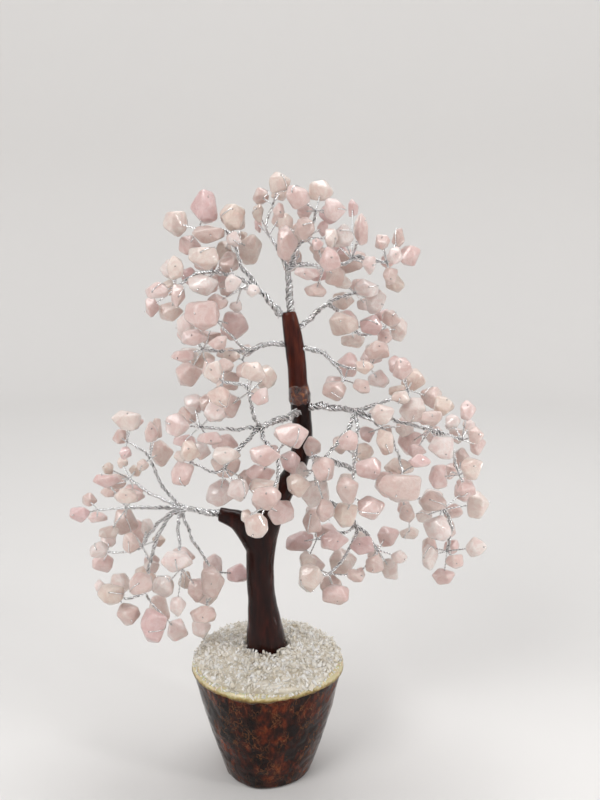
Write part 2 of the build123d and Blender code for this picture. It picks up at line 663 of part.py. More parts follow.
def ways_at(chip):
    """The directions in which branchlets leave a chip's knot: its own, and any that go on."""
    path = branchlet_route(chip.limb, chip.spray)
    ways = [(path[-2] - path[-1]).normalized()]
    for other, (_, carrier, _) in enumerate(LIMBS[chip.limb]["sprays"]):
        if carrier == chip.spray:
            path = branchlet_route(chip.limb, other)
            ways.append((path[1] - path[0]).normalized())
    return ways


def with_lengths(vectors):
    """Directions and lengths of an array of vectors."""
    lengths = np.linalg.norm(vectors, axis=-1, keepdims=True)
    return vectors / np.maximum(lengths, 1e-9), lengths[..., 0]


def nearest_on(starts, ends, points):
    """The nearest point of each straight stretch to each point."""
    along = ends - starts
    share = np.einsum("pkx,kx->pk", points[:, None] - starts, along) / np.maximum((along**2).sum(-1), 1e-9)
    return starts + np.clip(share, 0, 1)[..., None] * along


class Crown:
    """All chips as arrays, so that the crowded ones can move apart, mostly in depth."""

    def __init__(self, chips):
        names = list(LIMBS)
        self.chips = chips
        self.place = np.array([tuple(c.place) for c in chips])
        self.knot = np.array([tuple(c.knot) for c in chips])
        self.half = np.array([c.half for c in chips]) * CHIP_FULL_SHARE * 1.03
        limb = np.array([names.index(c.limb) for c in chips])
        spray = np.array([c.spray for c in chips])
        self.gap = np.where(limb[:, None] == limb[None], CHIP_GAP, LIMB_GAP)
        self.mates = (limb[:, None] == limb[None]) & (spray[:, None] == spray[None])
        np.fill_diagonal(self.mates, False)
        fixed = fixed_stretches()
        self.starts = np.array([tuple(s[0]) for s in fixed])
        self.ends = np.array([tuple(s[1]) for s in fixed])
        self.thick = np.array([s[2] for s in fixed])
        same_limb = limb[:, None] == np.array([s[3] for s in fixed])[None]
        self.own_wire = same_limb & (spray[:, None] == np.array([s[4] for s in fixed])[None])
        self.wire_gap = np.where(same_limb, CHIP_GAP, LIMB_GAP)
        forks = [(i, tuple(way)) for i, chip in enumerate(chips) for way in ways_at(chip)]
        self.forked = np.array([index for index, _ in forks])
        self.fork_way = np.array([way for _, way in forks])

    def support(self, way):
        """How far each chip reaches in each direction."""
        return np.sqrt(((way * self.half[:, None]) ** 2).sum(-1))

    def chip_pushes(self):
        """Pushes from other chips, from other chips' twigs, and from stems, branchlets and the trunk."""
        way, far = with_lengths(self.place[:, None] - self.place[None])
        reach = self.support(way)
        need = reach + reach.T + self.gap - far
        np.fill_diagonal(need, 0)
        push = (np.clip(need, 0, None)[..., None] * way).sum(1)
        way, far = with_lengths(self.place[:, None] - nearest_on(self.knot, self.place, self.place))
        need = self.support(way) + TWIG_RADIUS + self.gap - far
        np.fill_diagonal(need, 0)
        push += (np.clip(need, 0, None)[..., None] * way).sum(1)
        way, far = with_lengths(self.place[:, None] - nearest_on(self.starts, self.ends, self.place))
        need = self.support(way) + self.thick + self.wire_gap - far
        return push + (np.clip(need, 0, None)[..., None] * way).sum(1)

    def twig_pushes(self):
        """Pushes on chips whose twigs pass too near to other wires."""
        push = np.zeros_like(self.place)
        for share in TWIG_SHARES:
            point = self.knot + (self.place - self.knot) * share
            way, far = with_lengths(point[:, None] - nearest_on(self.starts, self.ends, point))
            need = np.where(self.own_wire, 0, self.thick + TWIG_RADIUS + self.wire_gap - far)
            push += (np.clip(need, 0, None)[..., None] * way).sum(1)
            way, far = with_lengths(point[:, None] - nearest_on(self.knot, self.place, point))
            need = np.where(self.mates, 0, 2 * TWIG_RADIUS + self.gap - far)
            np.fill_diagonal(need, 0)
            push += (np.clip(need, 0, None)[..., None] * way).sum(1)
        return push

    def fork_pushes(self):
        """Pushes on chips whose twigs leave a knot too near to each other or to its branchlet."""
        out, length = with_lengths(self.place - self.knot)
        least = math.radians(LEAST_FORK_DEGREES)
        angle = np.arccos(np.clip(out @ out.T, -1, 1))
        need = np.where(self.mates, np.clip(least - angle, 0, None), 0)
        way, _ = with_lengths(out[:, None] - out[None])
        push = (need[..., None] * way).sum(1) * length[:, None]
        mine = out[self.forked]
        angle = np.arccos(np.clip((mine * self.fork_way).sum(1), -1, 1))
        need = np.clip(math.radians(LEAST_BACK_DEGREES) - angle, 0, None)
        way, _ = with_lengths(mine - self.fork_way)
        np.add.at(push, self.forked, need[:, None] * way * length[self.forked][:, None])
        return push

    def settle(self):
        ease = np.array([SIDE_EASE, 1.0, SIDE_EASE])
        home = self.place.copy()
        for turn in range(SETTLE_ROUNDS):
            push = self.chip_pushes() * 0.5 + self.twig_pushes() * 0.4 + self.fork_pushes() * 0.5
            pull = (home - self.place) * HOME_EASE * (1 - turn / SETTLE_ROUNDS)
            self.place = self.place + (push + pull) * ease
        for chip, place in zip(self.chips, self.place):
            chip.place = Vector(*place)


def chip_corners(chip):
    """The uneven corners of a tumbled pebble that fills its half sizes."""
    dice = random.Random(chip.seed)
    golden = math.pi * (3 - math.sqrt(5))
    spin = dice.uniform(0, 2 * math.pi)
    corners = []
    for i in range(CHIP_CORNERS):
        rise = 1 - 2 * (i + 0.5) / CHIP_CORNERS
        flat = math.sqrt(1 - rise**2) * (1 + dice.uniform(-CHIP_ROUGHNESS_SHARE, CHIP_ROUGHNESS_SHARE))
        corners.append((flat * math.cos(i * golden + spin), rise, flat * math.sin(i * golden + spin)))
    corners = np.array(corners)
    corners *= np.array(chip.half) * CHIP_FULL_SHARE / np.abs(corners).max(axis=0)
    return corners + np.array(tuple(chip.place))


def way_in(sides, start, along):
    """How far a line from a start goes before it meets a hull, given the planes of the hull's sides."""
    slopes = sides[:, :3] @ along
    facing = slopes < 0
    return (-(sides[facing, :3] @ start + sides[facing, 3]) / slopes[facing]).max()


def twig_start(chip, along):
    """How far from the middle of its knot a twig starts, clear of the knot and of the branchlets there."""
    ways = ways_at(chip)
    sides = ConvexHull(np.array([tuple(p) for p in knot_corners(chip.knot, -ways[0])])).equations
    root = TWIG_RADIUS * TWIG_ROOT_SHARE
    far = [point + along * TWIG_REACH for point in [chip.knot] + ring(chip.knot, along, root, 3)]
    inward = np.array(tuple(-along))
    starts = [TWIG_REACH - way_in(sides, np.array(tuple(point)), inward) for point in far]
    for way in ways:
        angle = min(math.acos(max(-1.0, min(1.0, along.dot(way)))), math.pi / 2)
        starts.append((BRANCHLET_RADIUS + root) / math.sin(angle))
    return max(starts) + SEAT_GAP


def twig_solid(chip, corners):
    """A twisted pair of wires from its knot to the side of its chip."""
    along = (chip.place - chip.knot).normalized()
    start = chip.knot + along * twig_start(chip, along)
    edges = ring(start, along, TWIG_RADIUS, 3)
    line = np.array(tuple(along))
    sides = ConvexHull(corners).equations
    lengths = [way_in(sides, np.array(tuple(point)), line) for point in edges + [start]]
    offsets = corners - np.array(tuple(start))
    beside = np.linalg.norm(np.cross(offsets, line), axis=1) < TWIG_RADIUS
    lengths += [float(length) for length in (offsets @ line)[beside] if length > 0]
    end = along * (min(lengths) - SEAT_GAP)
    roots = ring(start, along, TWIG_RADIUS * TWIG_ROOT_SHARE, 3)
    return ConvexPolyhedron(roots + [point + end for point in edges])


# Assembly


def write(name, *shapes):
    """Writes one node, made of one solid or of a group of separate solids."""
    solids = [solid for shape in shapes for solid in shape.solids()]
    export_step(solids[0] if len(solids) == 1 else Compound(children=solids), f"parts/{name}.step")


def main():
    os.makedirs("parts", exist_ok=True)
    core_hole = wire_core(SEAT_GAP)
    holes = [exit_hole(name) for name in LIMBS]
    cuts = holes[0].fuse(*holes[1:])
    write("log_heartwood", log_heartwood())
    write("log_bark", log_bark())
    write("glue_layer", glue_layer())
    write("quartz_bed", ConvexPolyhedron(bed_corners()) - wrap_form(SEAT_GAP))
    write("quartz_grains", *quartz_grains())
    write("trunk_wire_core", wire_core() - cuts)
    write("lower_trunk_wrap", wrap_form() - core_hole - cuts)
    write("upper_trunk_wrap", trunk_form(trunk_places(UPPER_TRUNK)) - core_hole - cuts)
    write("knuckle_bead", knuckle_bead())
    crown = Crown(all_chips())
    crown.settle()
    for name in LIMBS:
        mine = [chip for chip in crown.chips if chip.limb == name]
        corners = [chip_corners(chip) for chip in mine]
        write(f"{name}_wires", limb_wires(name))
        write(f"{name}_twigs", *[twig_solid(chip, points) for chip, points in zip(mine, corners)])
        write(f"{name}_chips", *[ConvexPolyhedron([Vector(*p) for p in points]) for points in corners])
        mouth, _, _ = stem_of(name)
        print(f"{name}: bends at {mouth.X:.3f} {mouth.Y:.3f} {mouth.Z:.3f}, {len(mine)} chips")
    print("chips in all:", len(crown.chips))


main()
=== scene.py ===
# %% [markdown]
# # A gemstone tree
# A tapered log carries a heap of crushed quartz and a lacquered trunk. Ten limbs of twisted wire
# spread from the trunk, and each twig ends in one drilled, tumbled chip of rose quartz. The solids come
# ready-made from the frame. This script gives them their surfaces, and puts real wires and real stones
# where the frame has plain ones.

# %% Load the frame
import json
import random
from functools import partial
from math import atan2, cos, pi, radians, sin, sqrt

import bmesh
import bpy
from mathutils import Matrix, Vector, noise
from mathutils.bvhtree import BVHTree


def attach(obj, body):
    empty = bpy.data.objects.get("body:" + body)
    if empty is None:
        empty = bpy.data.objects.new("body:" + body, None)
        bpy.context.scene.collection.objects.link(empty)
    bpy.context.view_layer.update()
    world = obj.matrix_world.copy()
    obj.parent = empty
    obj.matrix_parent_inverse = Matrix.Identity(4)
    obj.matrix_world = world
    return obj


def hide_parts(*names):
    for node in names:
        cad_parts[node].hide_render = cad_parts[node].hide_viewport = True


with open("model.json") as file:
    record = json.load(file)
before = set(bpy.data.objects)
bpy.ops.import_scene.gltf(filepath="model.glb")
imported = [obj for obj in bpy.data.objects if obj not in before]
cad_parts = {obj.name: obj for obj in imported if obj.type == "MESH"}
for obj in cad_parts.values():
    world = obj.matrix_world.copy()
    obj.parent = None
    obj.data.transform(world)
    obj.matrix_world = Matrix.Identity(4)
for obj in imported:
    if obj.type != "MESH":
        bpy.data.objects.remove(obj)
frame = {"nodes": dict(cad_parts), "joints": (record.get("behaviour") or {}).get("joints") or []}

MM = 0.001
NODES = frame["nodes"]
NOISE_SEED = 5
noise.seed_set(NOISE_SEED)  # without it, noise_vector starts from the clock and every run differs
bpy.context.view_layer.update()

# %% [markdown]
# Every place on the tree was found on one picture, so the same camera gives both the view and the
# places. A picture column and row, with a depth before or behind the trunk, is one real place.

# %% The camera and the places that it sees
EYE_DISTANCE = 390 * MM
EYE_PITCH = radians(12.5)
PICTURE_FOCAL = 850
PICTURE_WIDTH = 600
PICTURE_CENTRE = (300, 400)
PICTURE_FOOT = (267.5, 657)
LOG_HEIGHT = 58.5 * MM
GLUE_THICKNESS = 1.4 * MM
FOOT = Vector((0, 0, LOG_HEIGHT + GLUE_THICKNESS))
CROWN_HALF_DEPTH = 50 * MM
SENSOR_WIDTH = 36


def from_eye(column, row, depth=0.0):
    """Where a picture column and row shows, measured from the eye."""
    right = (column - PICTURE_CENTRE[0]) / PICTURE_FOCAL
    up = (PICTURE_CENTRE[1] - row) / PICTURE_FOCAL
    forward = cos(EYE_PITCH) + up * sin(EYE_PITCH)
    rise = up * cos(EYE_PITCH) - sin(EYE_PITCH)
    reach = (EYE_DISTANCE + depth) / forward
    return Vector((reach * right, EYE_DISTANCE + depth, reach * rise))


EYE = FOOT - from_eye(*PICTURE_FOOT)


def seen(column, row, depth_share=0.0):
    """The real place of what shows at a column and row, so far behind the trunk."""
    return EYE + from_eye(column, row, depth_share * CROWN_HALF_DEPTH)


def show(data, material=None):
    """An object of a mesh, a curve, a lamp or a camera, in the scene and in its material."""
    thing = bpy.data.objects.new(data.name, data)
    bpy.context.scene.collection.objects.link(thing)
    if material:
        data.materials.append(material)
    return thing


camera = show(bpy.data.cameras.new("camera"))
camera.location = EYE
camera.rotation_euler = (pi / 2 - EYE_PITCH, 0, 0)
camera.data.sensor_fit = "HORIZONTAL"
camera.data.sensor_width = SENSOR_WIDTH
camera.data.lens = PICTURE_FOCAL / PICTURE_WIDTH * SENSOR_WIDTH
camera.data.clip_start = 10 * MM
bpy.context.scene.camera = camera
bpy.context.scene.view_settings.view_transform = "Standard"
print("eye at", [round(v / MM) for v in EYE], "mm")

# %% [markdown]
# A material is a small tree of nodes. One function adds a node with its settings and its links, and
# another turns the hex colours that people write into the linear values that a shader needs. A third
# starts a material: every pattern here is laid out by the place on the object, in millimetres, so a
# pattern with a scale of 0.1 has patches that are ten millimetres wide. A node that is linked without
# naming one of its outputs stands for its first one.

# %% Helpers for materials
MIXED_COLOUR = 2  # the number of a Mix node's output for colours


def linear(code):
    """An sRGB hex colour as linear red, green, blue and alpha."""
    parts = [int(code[i:i + 2], 16) / 255 for i in (1, 3, 5)]
    return [c / 12.92 if c <= 0.04045 else ((c + 0.055) / 1.055) ** 2.4 for c in parts] + [1.0]


def link(tree, source, socket):
    """Links a socket to another one, or to a node, which stands for its first output."""
    tree.links.new(source.outputs[0] if isinstance(source, bpy.types.Node) else source, socket)


def add_node(tree, kind, settings=None, **links):
    """Adds a node. A setting is a property, the value of a socket, or the stops of a colour ramp."""
    node = tree.nodes.new("ShaderNode" + kind)
    sockets = {socket.identifier: socket for socket in node.inputs}
    sockets.update({socket.name: socket for socket in reversed(node.inputs)})
    for name, value in (settings or {}).items():
        if name == "stops":
            band = node.color_ramp.elements
            while len(band) < len(value):
                band.new(1.0)
            for element, (position, code) in zip(band, value):
                element.position = position
                element.color = linear(code)
        elif hasattr(node, name):
            setattr(node, name, value)
        else:
            sockets[name].default_value = value
    for name, source in links.items():
        link(tree, source, sockets[name])
    return node


def new_material(name, stretch=(1, 1, 1), **surface):
    """A material, a function that adds nodes to it, and the place on the object in millimetres."""
    material = bpy.data.materials.new(name)
    material.use_nodes = True
    tree = material.node_tree
    for socket, value in surface.items():
        tree.nodes["Principled BSDF"].inputs[socket.replace("_", " ")].default_value = value
    add = partial(add_node, tree)
    where = add("TexCoord")
    places = add("Mapping", {"Scale": [share / MM for share in stretch]}, Vector=where.outputs["Object"])
    return material, add, places


def finished(material, **sources):
    """The material, after nodes are linked to sockets of its main shader."""
    tree = material.node_tree
    for socket, source in sources.items():
        link(tree, source, tree.nodes["Principled BSDF"].inputs[socket.replace("_", " ")])
    return material


# %% [markdown]
# Most round pieces start as one loop of edges that is extruded again and again, which makes a straight
# tube with a whole number for each ring. A function then puts each corner in its real place, by its
# ring and its angle. In this way one kind of tube becomes a log, a trunk or a bead of glue.

# %% Helpers for meshes
SAME_PLACE = 0.001 * MM


def tube(sides, rings, place, foot=True, top=True):
    """A tube of so many rings, closed or open, whose corners go where place(ring, angle) says."""
    bm = bmesh.new()
    bmesh.ops.create_circle(bm, segments=sides, radius=1.0, cap_ends=foot)
    edges = bm.edges[:]
    for _ in range(rings - 1):
        made = bmesh.ops.extrude_edge_only(bm, edges=edges)["geom"]
        fresh = {item for item in made if isinstance(item, bmesh.types.BMVert)}
        bmesh.ops.translate(bm, verts=list(fresh), vec=(0, 0, 1))
        edges = [item for item in made
                 if isinstance(item, bmesh.types.BMEdge) and fresh.issuperset(item.verts)]
    if top:
        bmesh.ops.edgeloop_fill(bm, edges=edges)
    for vert in bm.verts:
        vert.co = place(round(vert.co.z), atan2(vert.co.y, vert.co.x))
    bmesh.ops.recalc_face_normals(bm, faces=bm.faces)
    return bm


def mesh_of(bm, name, smooth=True):
    """A mesh with the shape of a bmesh, which is freed."""
    mesh = bpy.data.meshes.new(name)
    bm.to_mesh(mesh)
    bm.free()
    for face in mesh.polygons:
        face.use_smooth = smooth
    return mesh


def finish_piece(data, body, material, replaced=()):
    """Makes a piece of a mesh or a curve: it gets its finish and rides on its body."""
    piece = show(data, material)
    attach(piece, body)
    if replaced:
        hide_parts(*replaced)
    return piece


def add_to(target, source):
    """Adds one bmesh to another, and frees it."""
    mesh = mesh_of(source, "part")
    target.from_mesh(mesh)
    bpy.data.meshes.remove(mesh)


def merged(node):
    """A bmesh of a frame node, with the doubles of its loose triangles merged."""
    bm = bmesh.new()
    bm.from_mesh(NODES[node].data)
    bmesh.ops.remove_doubles(bm, verts=bm.verts, dist=SAME_PLACE)
    return bm


def finish_node(node, material):
    """A frame node that stays as it is gets its material."""
    mesh = NODES[node].data
    mesh.materials.clear()
    mesh.materials.append(material)


# %% [markdown]
# The tree stands in a round sweep, a paper floor that curves up into a backdrop on every side, so no
# horizon line crosses the picture, wherever the camera stands. The light is a big soft lamp at the
# upper left, a tall narrow one at the right that draws long highlights on lacquer, one overhead and a
# dim even sky. Two thin weak lamps stand low beside the tree, because an upright glossy trunk that is
# seen from above mirrors only what is low. The sky stays dimmer than the paper, so that silver wire
# mirrors dark and light and shows up on a pale ground.

# %% Floor, backdrop and light
SWEEP_RADIUS = 1300 * MM
SWEEP_BEND = 400 * MM
SWEEP_HEIGHT = 1000 * MM
SWEEP_STEPS = 16
SWEEP_SIDES = 96
SKY_LIGHT, SKY_MORE_IN_MIRRORS, SKY_MORE_THROUGH_STONE, SKY_MORE_WHERE_SEEN = 0.4, 0.1, 0.45, 0.5
TREE_MIDDLE, TRUNK_MIDDLE = (0, 0, 0.17), (0, 0, 0.135)
EDGE_LAMP_SIZE = (0.008, 0.17)
LAMPS = {  # place, target and size in metres, and power in watts
    "key_lamp": ((-0.8, -1.0, 1.2), TREE_MIDDLE, (0.7, 0.8), 16.5),
    "fill_lamp": ((1.05, -0.6, 0.7), TREE_MIDDLE, (0.09, 0.9), 5.5),
    "top_lamp": ((0.15, 0.35, 1.6), TREE_MIDDLE, (0.9, 0.9), 10.5),
    "right_edge_lamp": ((0.25, -0.03, 0.135), TRUNK_MIDDLE, EDGE_LAMP_SIZE, 0.055),
    "left_edge_lamp": ((-0.25, 0, 0.135), TRUNK_MIDDLE, EDGE_LAMP_SIZE, 0.03),
}


def sweep_place(ring, angle):
    """The floor's rim, then a quarter turn upwards, then the top of the wall."""
    turn = pi / 2 * min(1.0, ring / SWEEP_STEPS)
    radius = SWEEP_RADIUS - SWEEP_BEND * (1 - sin(turn))
    height = SWEEP_HEIGHT if ring > SWEEP_STEPS else SWEEP_BEND * (1 - cos(turn))
    return Vector((radius * cos(angle), radius * sin(angle), height))


def add_lamp(name, place, target, size, power):
    """A flat lamp that faces its target and is itself not seen."""
    lamp = show(bpy.data.lights.new(name, "AREA"))
    lamp.data.shape = "RECTANGLE"
    lamp.data.size, lamp.data.size_y = size
    lamp.data.energy = power
    lamp.location = place
    lamp.rotation_euler = (Vector(target) - Vector(place)).to_track_quat("-Z", "Y").to_euler()
    lamp.visible_camera = False


def make_sky():
    """A sky that is dim as a light and in mirrors, and pale where it is seen, also through stone."""
    world = bpy.data.worlds.new("even_sky")
    bpy.context.scene.world = world
    world.use_nodes = True
    tree = world.node_tree
    sky = tree.nodes["Background"]
    sky.inputs["Color"].default_value = linear("#F2F4F7")
    ray = add_node(tree, "LightPath")
    strength = add_node(tree, "Math", {"operation": "MULTIPLY_ADD", "Value_001": SKY_MORE_IN_MIRRORS,
                                       "Value_002": SKY_LIGHT}, Value=ray.outputs["Is Glossy Ray"])
    for kind, more in (("Is Transmission Ray", SKY_MORE_THROUGH_STONE),
                       ("Is Camera Ray", SKY_MORE_WHERE_SEEN)):
        strength = add_node(tree, "Math", {"operation": "MULTIPLY_ADD", "Value_001": more},
                            Value=ray.outputs[kind], Value_002=strength)
    link(tree, strength, sky.inputs["Strength"])


PAPER = new_material("matt_backdrop_paper", Base_Color=linear("#D8D6D4"), Roughness=0.9)[0]
sweep = show(mesh_of(tube(SWEEP_SIDES, SWEEP_STEPS + 2, sweep_place, top=False), "sweep"), PAPER)
for lamp_name, settings in LAMPS.items():
    add_lamp(lamp_name, *settings)
make_sky()
print("lamps:", len(bpy.data.lights))

# %% [markdown]
# The base is a piece of a branch, whittled to a taper and varnished with its bark on. Under the gloss
# the bark is dark red-brown with orange-brown patches and a fine net of cracks. The log is a tube whose
# radius swells half way up and wanders a little from a circle, and the net of cracks is cut in the mesh.

# %% The form of varnished bark
FOOT_RADIUS, WAIST_RADIUS, TOP_RADIUS = 22.0 * MM, 30.9 * MM, 37.4 * MM
LOG_WAVES = ((3, 0.015, 0.6), (5, 0.01, 2.0))  # how many round the log, how high and from where
BARK_SIDES = 240
BARK_RINGS = 64
BARK_WALL = 1.5 * MM
BARK_SUNK = 0.45 * MM
BARK_LUMPS = ((13 * MM, 0.45 * MM), (4 * MM, 0.2 * MM))  # how wide and how high
CRACK_DEPTH = 0.16 * MM
CRACK_CELL = Vector((6.5, 6.5, 9)) * MM
CRACK_SHARE = 0.14
CRACK_BEND, CRACK_BEND_SIZE = 0.5, 8 * MM
EDGE_ROUND = 0.9 * MM


def log_radius(height, angle):
    """The log's outline at a height and an angle."""
    share = height / LOG_HEIGHT
    bend = 2 * (FOOT_RADIUS - 2 * WAIST_RADIUS + TOP_RADIUS)
    radius = FOOT_RADIUS + (TOP_RADIUS - FOOT_RADIUS - bend) * share + bend * share**2
    wave = sum(high * cos(count * angle + start) for count, high, start in LOG_WAVES)
    return radius * (1 + wave)


def crack_share(place):
    """How deep the net of cracks is at a place: 1 in the middle of a crack, 0 on the plates."""
    bend = noise.noise_vector(place / CRACK_BEND_SIZE) * CRACK_BEND
    cell = Vector([p / c for p, c in zip(place, CRACK_CELL)]) + bend
    nearest, second = noise.voronoi(cell)[0][:2]
    return max(0.0, 1 - (second - nearest) / CRACK_SHARE)


def bark_place(ring, angle):
    """A place on the bark: on the log's outline, but lumpy, cracked and rounded at both ends."""
    height = LOG_HEIGHT * ring / (BARK_RINGS - 1)
    out = Vector((cos(angle), sin(angle), 0))
    place = out * log_radius(height, angle) + Vector((0, 0, height))
    nearness = min(height, LOG_HEIGHT - height) / EDGE_ROUND
    edge = EDGE_ROUND * max(0.0, 1 - nearness) ** 2
    lump = sum(high * noise.noise(place / size) for size, high in BARK_LUMPS)
    sunk = BARK_SUNK + edge + CRACK_DEPTH * crack_share(place) * min(1.0, nearness)
    return place - out * (sunk - lump)


def shell(sides, rings, place, wall):
    """An open tube that gets a wall, and so is closed."""
    bm = tube(sides, rings, place, foot=False, top=False)
    bmesh.ops.solidify(bm, geom=bm.faces[:] + bm.edges[:] + bm.verts[:], thickness=wall)
    bmesh.ops.recalc_face_normals(bm, faces=bm.faces)
    return bm


# %% [markdown]
# Real varnished bark is two layers to the eye: broad near-black and red-brown patches that run up the
# log, and pale crooked threads where old cracks were filled by varnish. Each layer is one pattern, and
# the threads are hidden again over half of the log. The gloss is a clear coat over a dull surface.

# %% The finish of varnished bark


def bark_material():
    """Varnished bark: a clear gloss over near-black plates, red-brown patches and pale threads."""
    material, add, places = new_material(
        "varnished_bark", (1, 1, 0.55), Roughness=0.7, Specular_IOR_Level=0.03,
        Coat_Weight=0.9, Coat_Roughness=0.07, Coat_IOR=1.27)
    broad = add("TexNoise", {"Scale": 0.1, "Detail": 3.0}, Vector=places)
    fine = add("TexNoise", {"Scale": 0.4, "Detail": 8.0, "Roughness": 0.7, "Distortion": 0.5}, Vector=places)
    patch = add("Mix", {"Factor_Float": 0.42}, A_Float=broad, B_Float=fine)
    plates = add("ValToRGB", {"stops": [(0.41, "#0C0201"), (0.49, "#1F0702"), (0.545, "#381204"),
                                        (0.6, "#5A2008"), (0.68, "#803E17")]}, Fac=patch)
    warp = add("TexNoise", {"Scale": 0.5, "Detail": 4.0}, Vector=places)
    moved = add("VectorMath", {"operation": "MULTIPLY_ADD", "Vector_001": (5, 5, 5)},
                Vector=warp.outputs["Color"], Vector_002=places)
    net = add("TexVoronoi", {"feature": "DISTANCE_TO_EDGE", "Scale": 0.26}, Vector=moved)
    thread = add("ValToRGB", {"stops": [(0.0, "#B8B8B8"), (0.03, "#6A6A6A"), (0.07, "#000000")]}, Fac=net)
    gap = add("TexNoise", {"Scale": 0.16, "Detail": 3.0, "W": 4.0, "noise_dimensions": "4D"}, Vector=places)
    shown = add("MapRange", {"From Min": 0.44, "From Max": 0.56}, Value=gap)
    broken = add("Math", {"operation": "MULTIPLY"}, Value=thread, Value_001=shown)
    colour = add("Mix", {"data_type": "RGBA", "B_Color": linear("#9A6238")},
                 A_Color=plates, Factor_Float=broken)
    bump = add("Bump", {"Distance": 0.6 * MM}, Height=fine)
    return finished(material, Base_Color=colour.outputs[MIXED_COLOUR], Normal=bump)


bark_mesh = mesh_of(shell(BARK_SIDES, BARK_RINGS, bark_place, BARK_WALL), "varnished_bark")
finish_piece(bark_mesh, "trunk", bark_material(), ["log_bark"])
print("bark:", len(bark_mesh.polygons), "faces")

# %% [markdown]
# The heartwood shows only underneath, where the log was sawn flat: pale wood with year rings. Rings
# are bands of the distance from the log's middle, with a little noise to make them uneven.

# %% Sawn heartwood


def heartwood_material():
    """Sawn softwood, sealed with thin varnish: pale and dark year rings."""
    material, add, places = new_material("sawn_heartwood", (1, 1, 0.15), Roughness=0.55, Coat_Weight=0.2)
    rings = add("TexWave", {"wave_type": "RINGS", "rings_direction": "Z", "Scale": 0.16, "Distortion": 1.6,
                            "Detail": 3.0, "Detail Scale": 0.4}, Vector=places).outputs["Fac"]
    colour = add("ValToRGB", {"stops": [(0.0, "#C79A66"), (0.6, "#B98655"), (1.0, "#8C5A34")]}, Fac=rings)
    bump = add("Bump", {"Distance": 0.1 * MM}, Height=rings)
    return finished(material, Base_Color=colour, Normal=bump)


finish_node("log_heartwood", heartwood_material())

# %% [markdown]
# The glue that binds the heap runs over the log's rim and has dried to a yellowish lip. It is a strip
# with a round outside whose droop wanders, so it hangs lower in some places than in others.

# %% The lip of glue
LIP_SIDES = 200
LIP_STEPS = 15
LIP_RISE = 2.6 * MM
LIP_REACH = 0.22 * MM
LIP_WALL = 0.6 * MM
LIP_ROUGH = 0.25 * MM
LIP_LEAN, LIP_INSET = 2.6 * MM, 0.25 * MM
LIP_DROOP, LEAST_DROOP = 0.9 * MM, 0.2 * MM
DROOP_WAVES = ((2.3, 0.8 * MM), (9, 0.8 * MM))  # how close together and how high
LIP_SWELL_UNEVEN, SWELL_CLOSENESS = 0.9, 13
SWELL_ENDS_EARLY = 1.15


def lip_place(ring, angle):
    """From the lip's inner top edge, over its round outside, down to where it ends on the bark."""
    out = Vector((cos(angle), sin(angle), 0))
    share = ring / (LIP_STEPS - 1)
    droop = LIP_DROOP + sum(high * noise.noise(out * close) for close, high in DROOP_WAVES)
    swell = LIP_REACH * (1 + LIP_SWELL_UNEVEN * noise.noise(out * SWELL_CLOSENESS))
    swell *= sin(pi * min(1.0, share * SWELL_ENDS_EARLY))
    height = LOG_HEIGHT + LIP_RISE - (LIP_RISE + max(LEAST_DROOP, droop)) * share
    lean = LIP_LEAN * (1 - share) ** 2 + LIP_INSET
    rough = LIP_ROUGH * noise.noise(Vector((out.x, out.y, share)) * 17)
    radius = log_radius(min(height, LOG_HEIGHT), angle) - lean + swell + rough
    return out * radius + Vector((0, 0, height))


def glue_material():
    """Dried resin glue: pale and cloudy where thick, olive and then brown where it thins out."""
    material, add, places = new_material(
        "dried_resin_glue", Roughness=0.3, IOR=1.5, Specular_IOR_Level=0.3, Coat_Weight=0.3,
        Subsurface_Weight=0.3, Subsurface_Scale=1.2 * MM)
    cloud = add("TexNoise", {"Scale": 0.4, "Detail": 5.0, "Roughness": 0.6}, Vector=places)
    height = add("SeparateXYZ", Vector=places).outputs["Z"]
    lowest_droop, crest = LOG_HEIGHT / MM - 1.4, LOG_HEIGHT / MM + 2.4
    thick = add("MapRange", {"From Min": lowest_droop, "From Max": crest}, Value=height)
    mixed = add("Math", {"operation": "MULTIPLY_ADD", "Value_001": 0.8}, Value=cloud, Value_002=thick)
    colour = add("ValToRGB", {"stops": [(0.4, "#2E170A"), (0.6, "#6B5226"), (0.82, "#9C8850"),
                                        (1.1, "#CBBF98")]}, Fac=mixed)
    bump = add("Bump", {"Distance": 0.3 * MM}, Height=cloud)
    return finished(material, Base_Color=colour, Normal=bump)


GLUE = glue_material()
lip_mesh = mesh_of(shell(LIP_SIDES, LIP_STEPS, lip_place, LIP_WALL), "glue_lip")
finish_piece(lip_mesh, "trunk", GLUE)
finish_node("glue_layer", GLUE)

# %% [markdown]
# The heap is crushed quartz: white, half clear crumbs and shards of one to four millimetres that were
# scattered on wet glue. A splinter is a ball that loses some corners, has the rest knocked in or out,
# and is then wrapped in its hull. Each has its own shade, from clear and greyish to frosty white.

# %% Splinters of quartz
SHARD_RADIUS = 0.62  # these are shares of a splinter's size
LOST_CORNERS = 4
KNOCKED = (0.6, 1.35)
SLENDER, STOUT = 1.9, 1.1
WIDTHS, DEPTHS = (0.8, 1.2), (0.6, 0.95)


def shard(dice, slender):
    """An angular crumb: the hull of a ball's corners, each knocked in or out, stretched if slender."""
    bm = bmesh.new()
    bmesh.ops.create_icosphere(bm, subdivisions=1, radius=SHARD_RADIUS)
    spare = dice.sample(range(len(bm.verts)), LOST_CORNERS)
    bm.verts.ensure_lookup_table()
    bmesh.ops.delete(bm, geom=[bm.verts[i] for i in spare], context="VERTS")
    for vert in bm.verts:
        vert.co *= dice.uniform(*KNOCKED)
        vert.co.z *= SLENDER if slender else STOUT
    bmesh.ops.convex_hull(bm, input=bm.verts)
    bm.verts.layers.float.new("shade")
    return bm


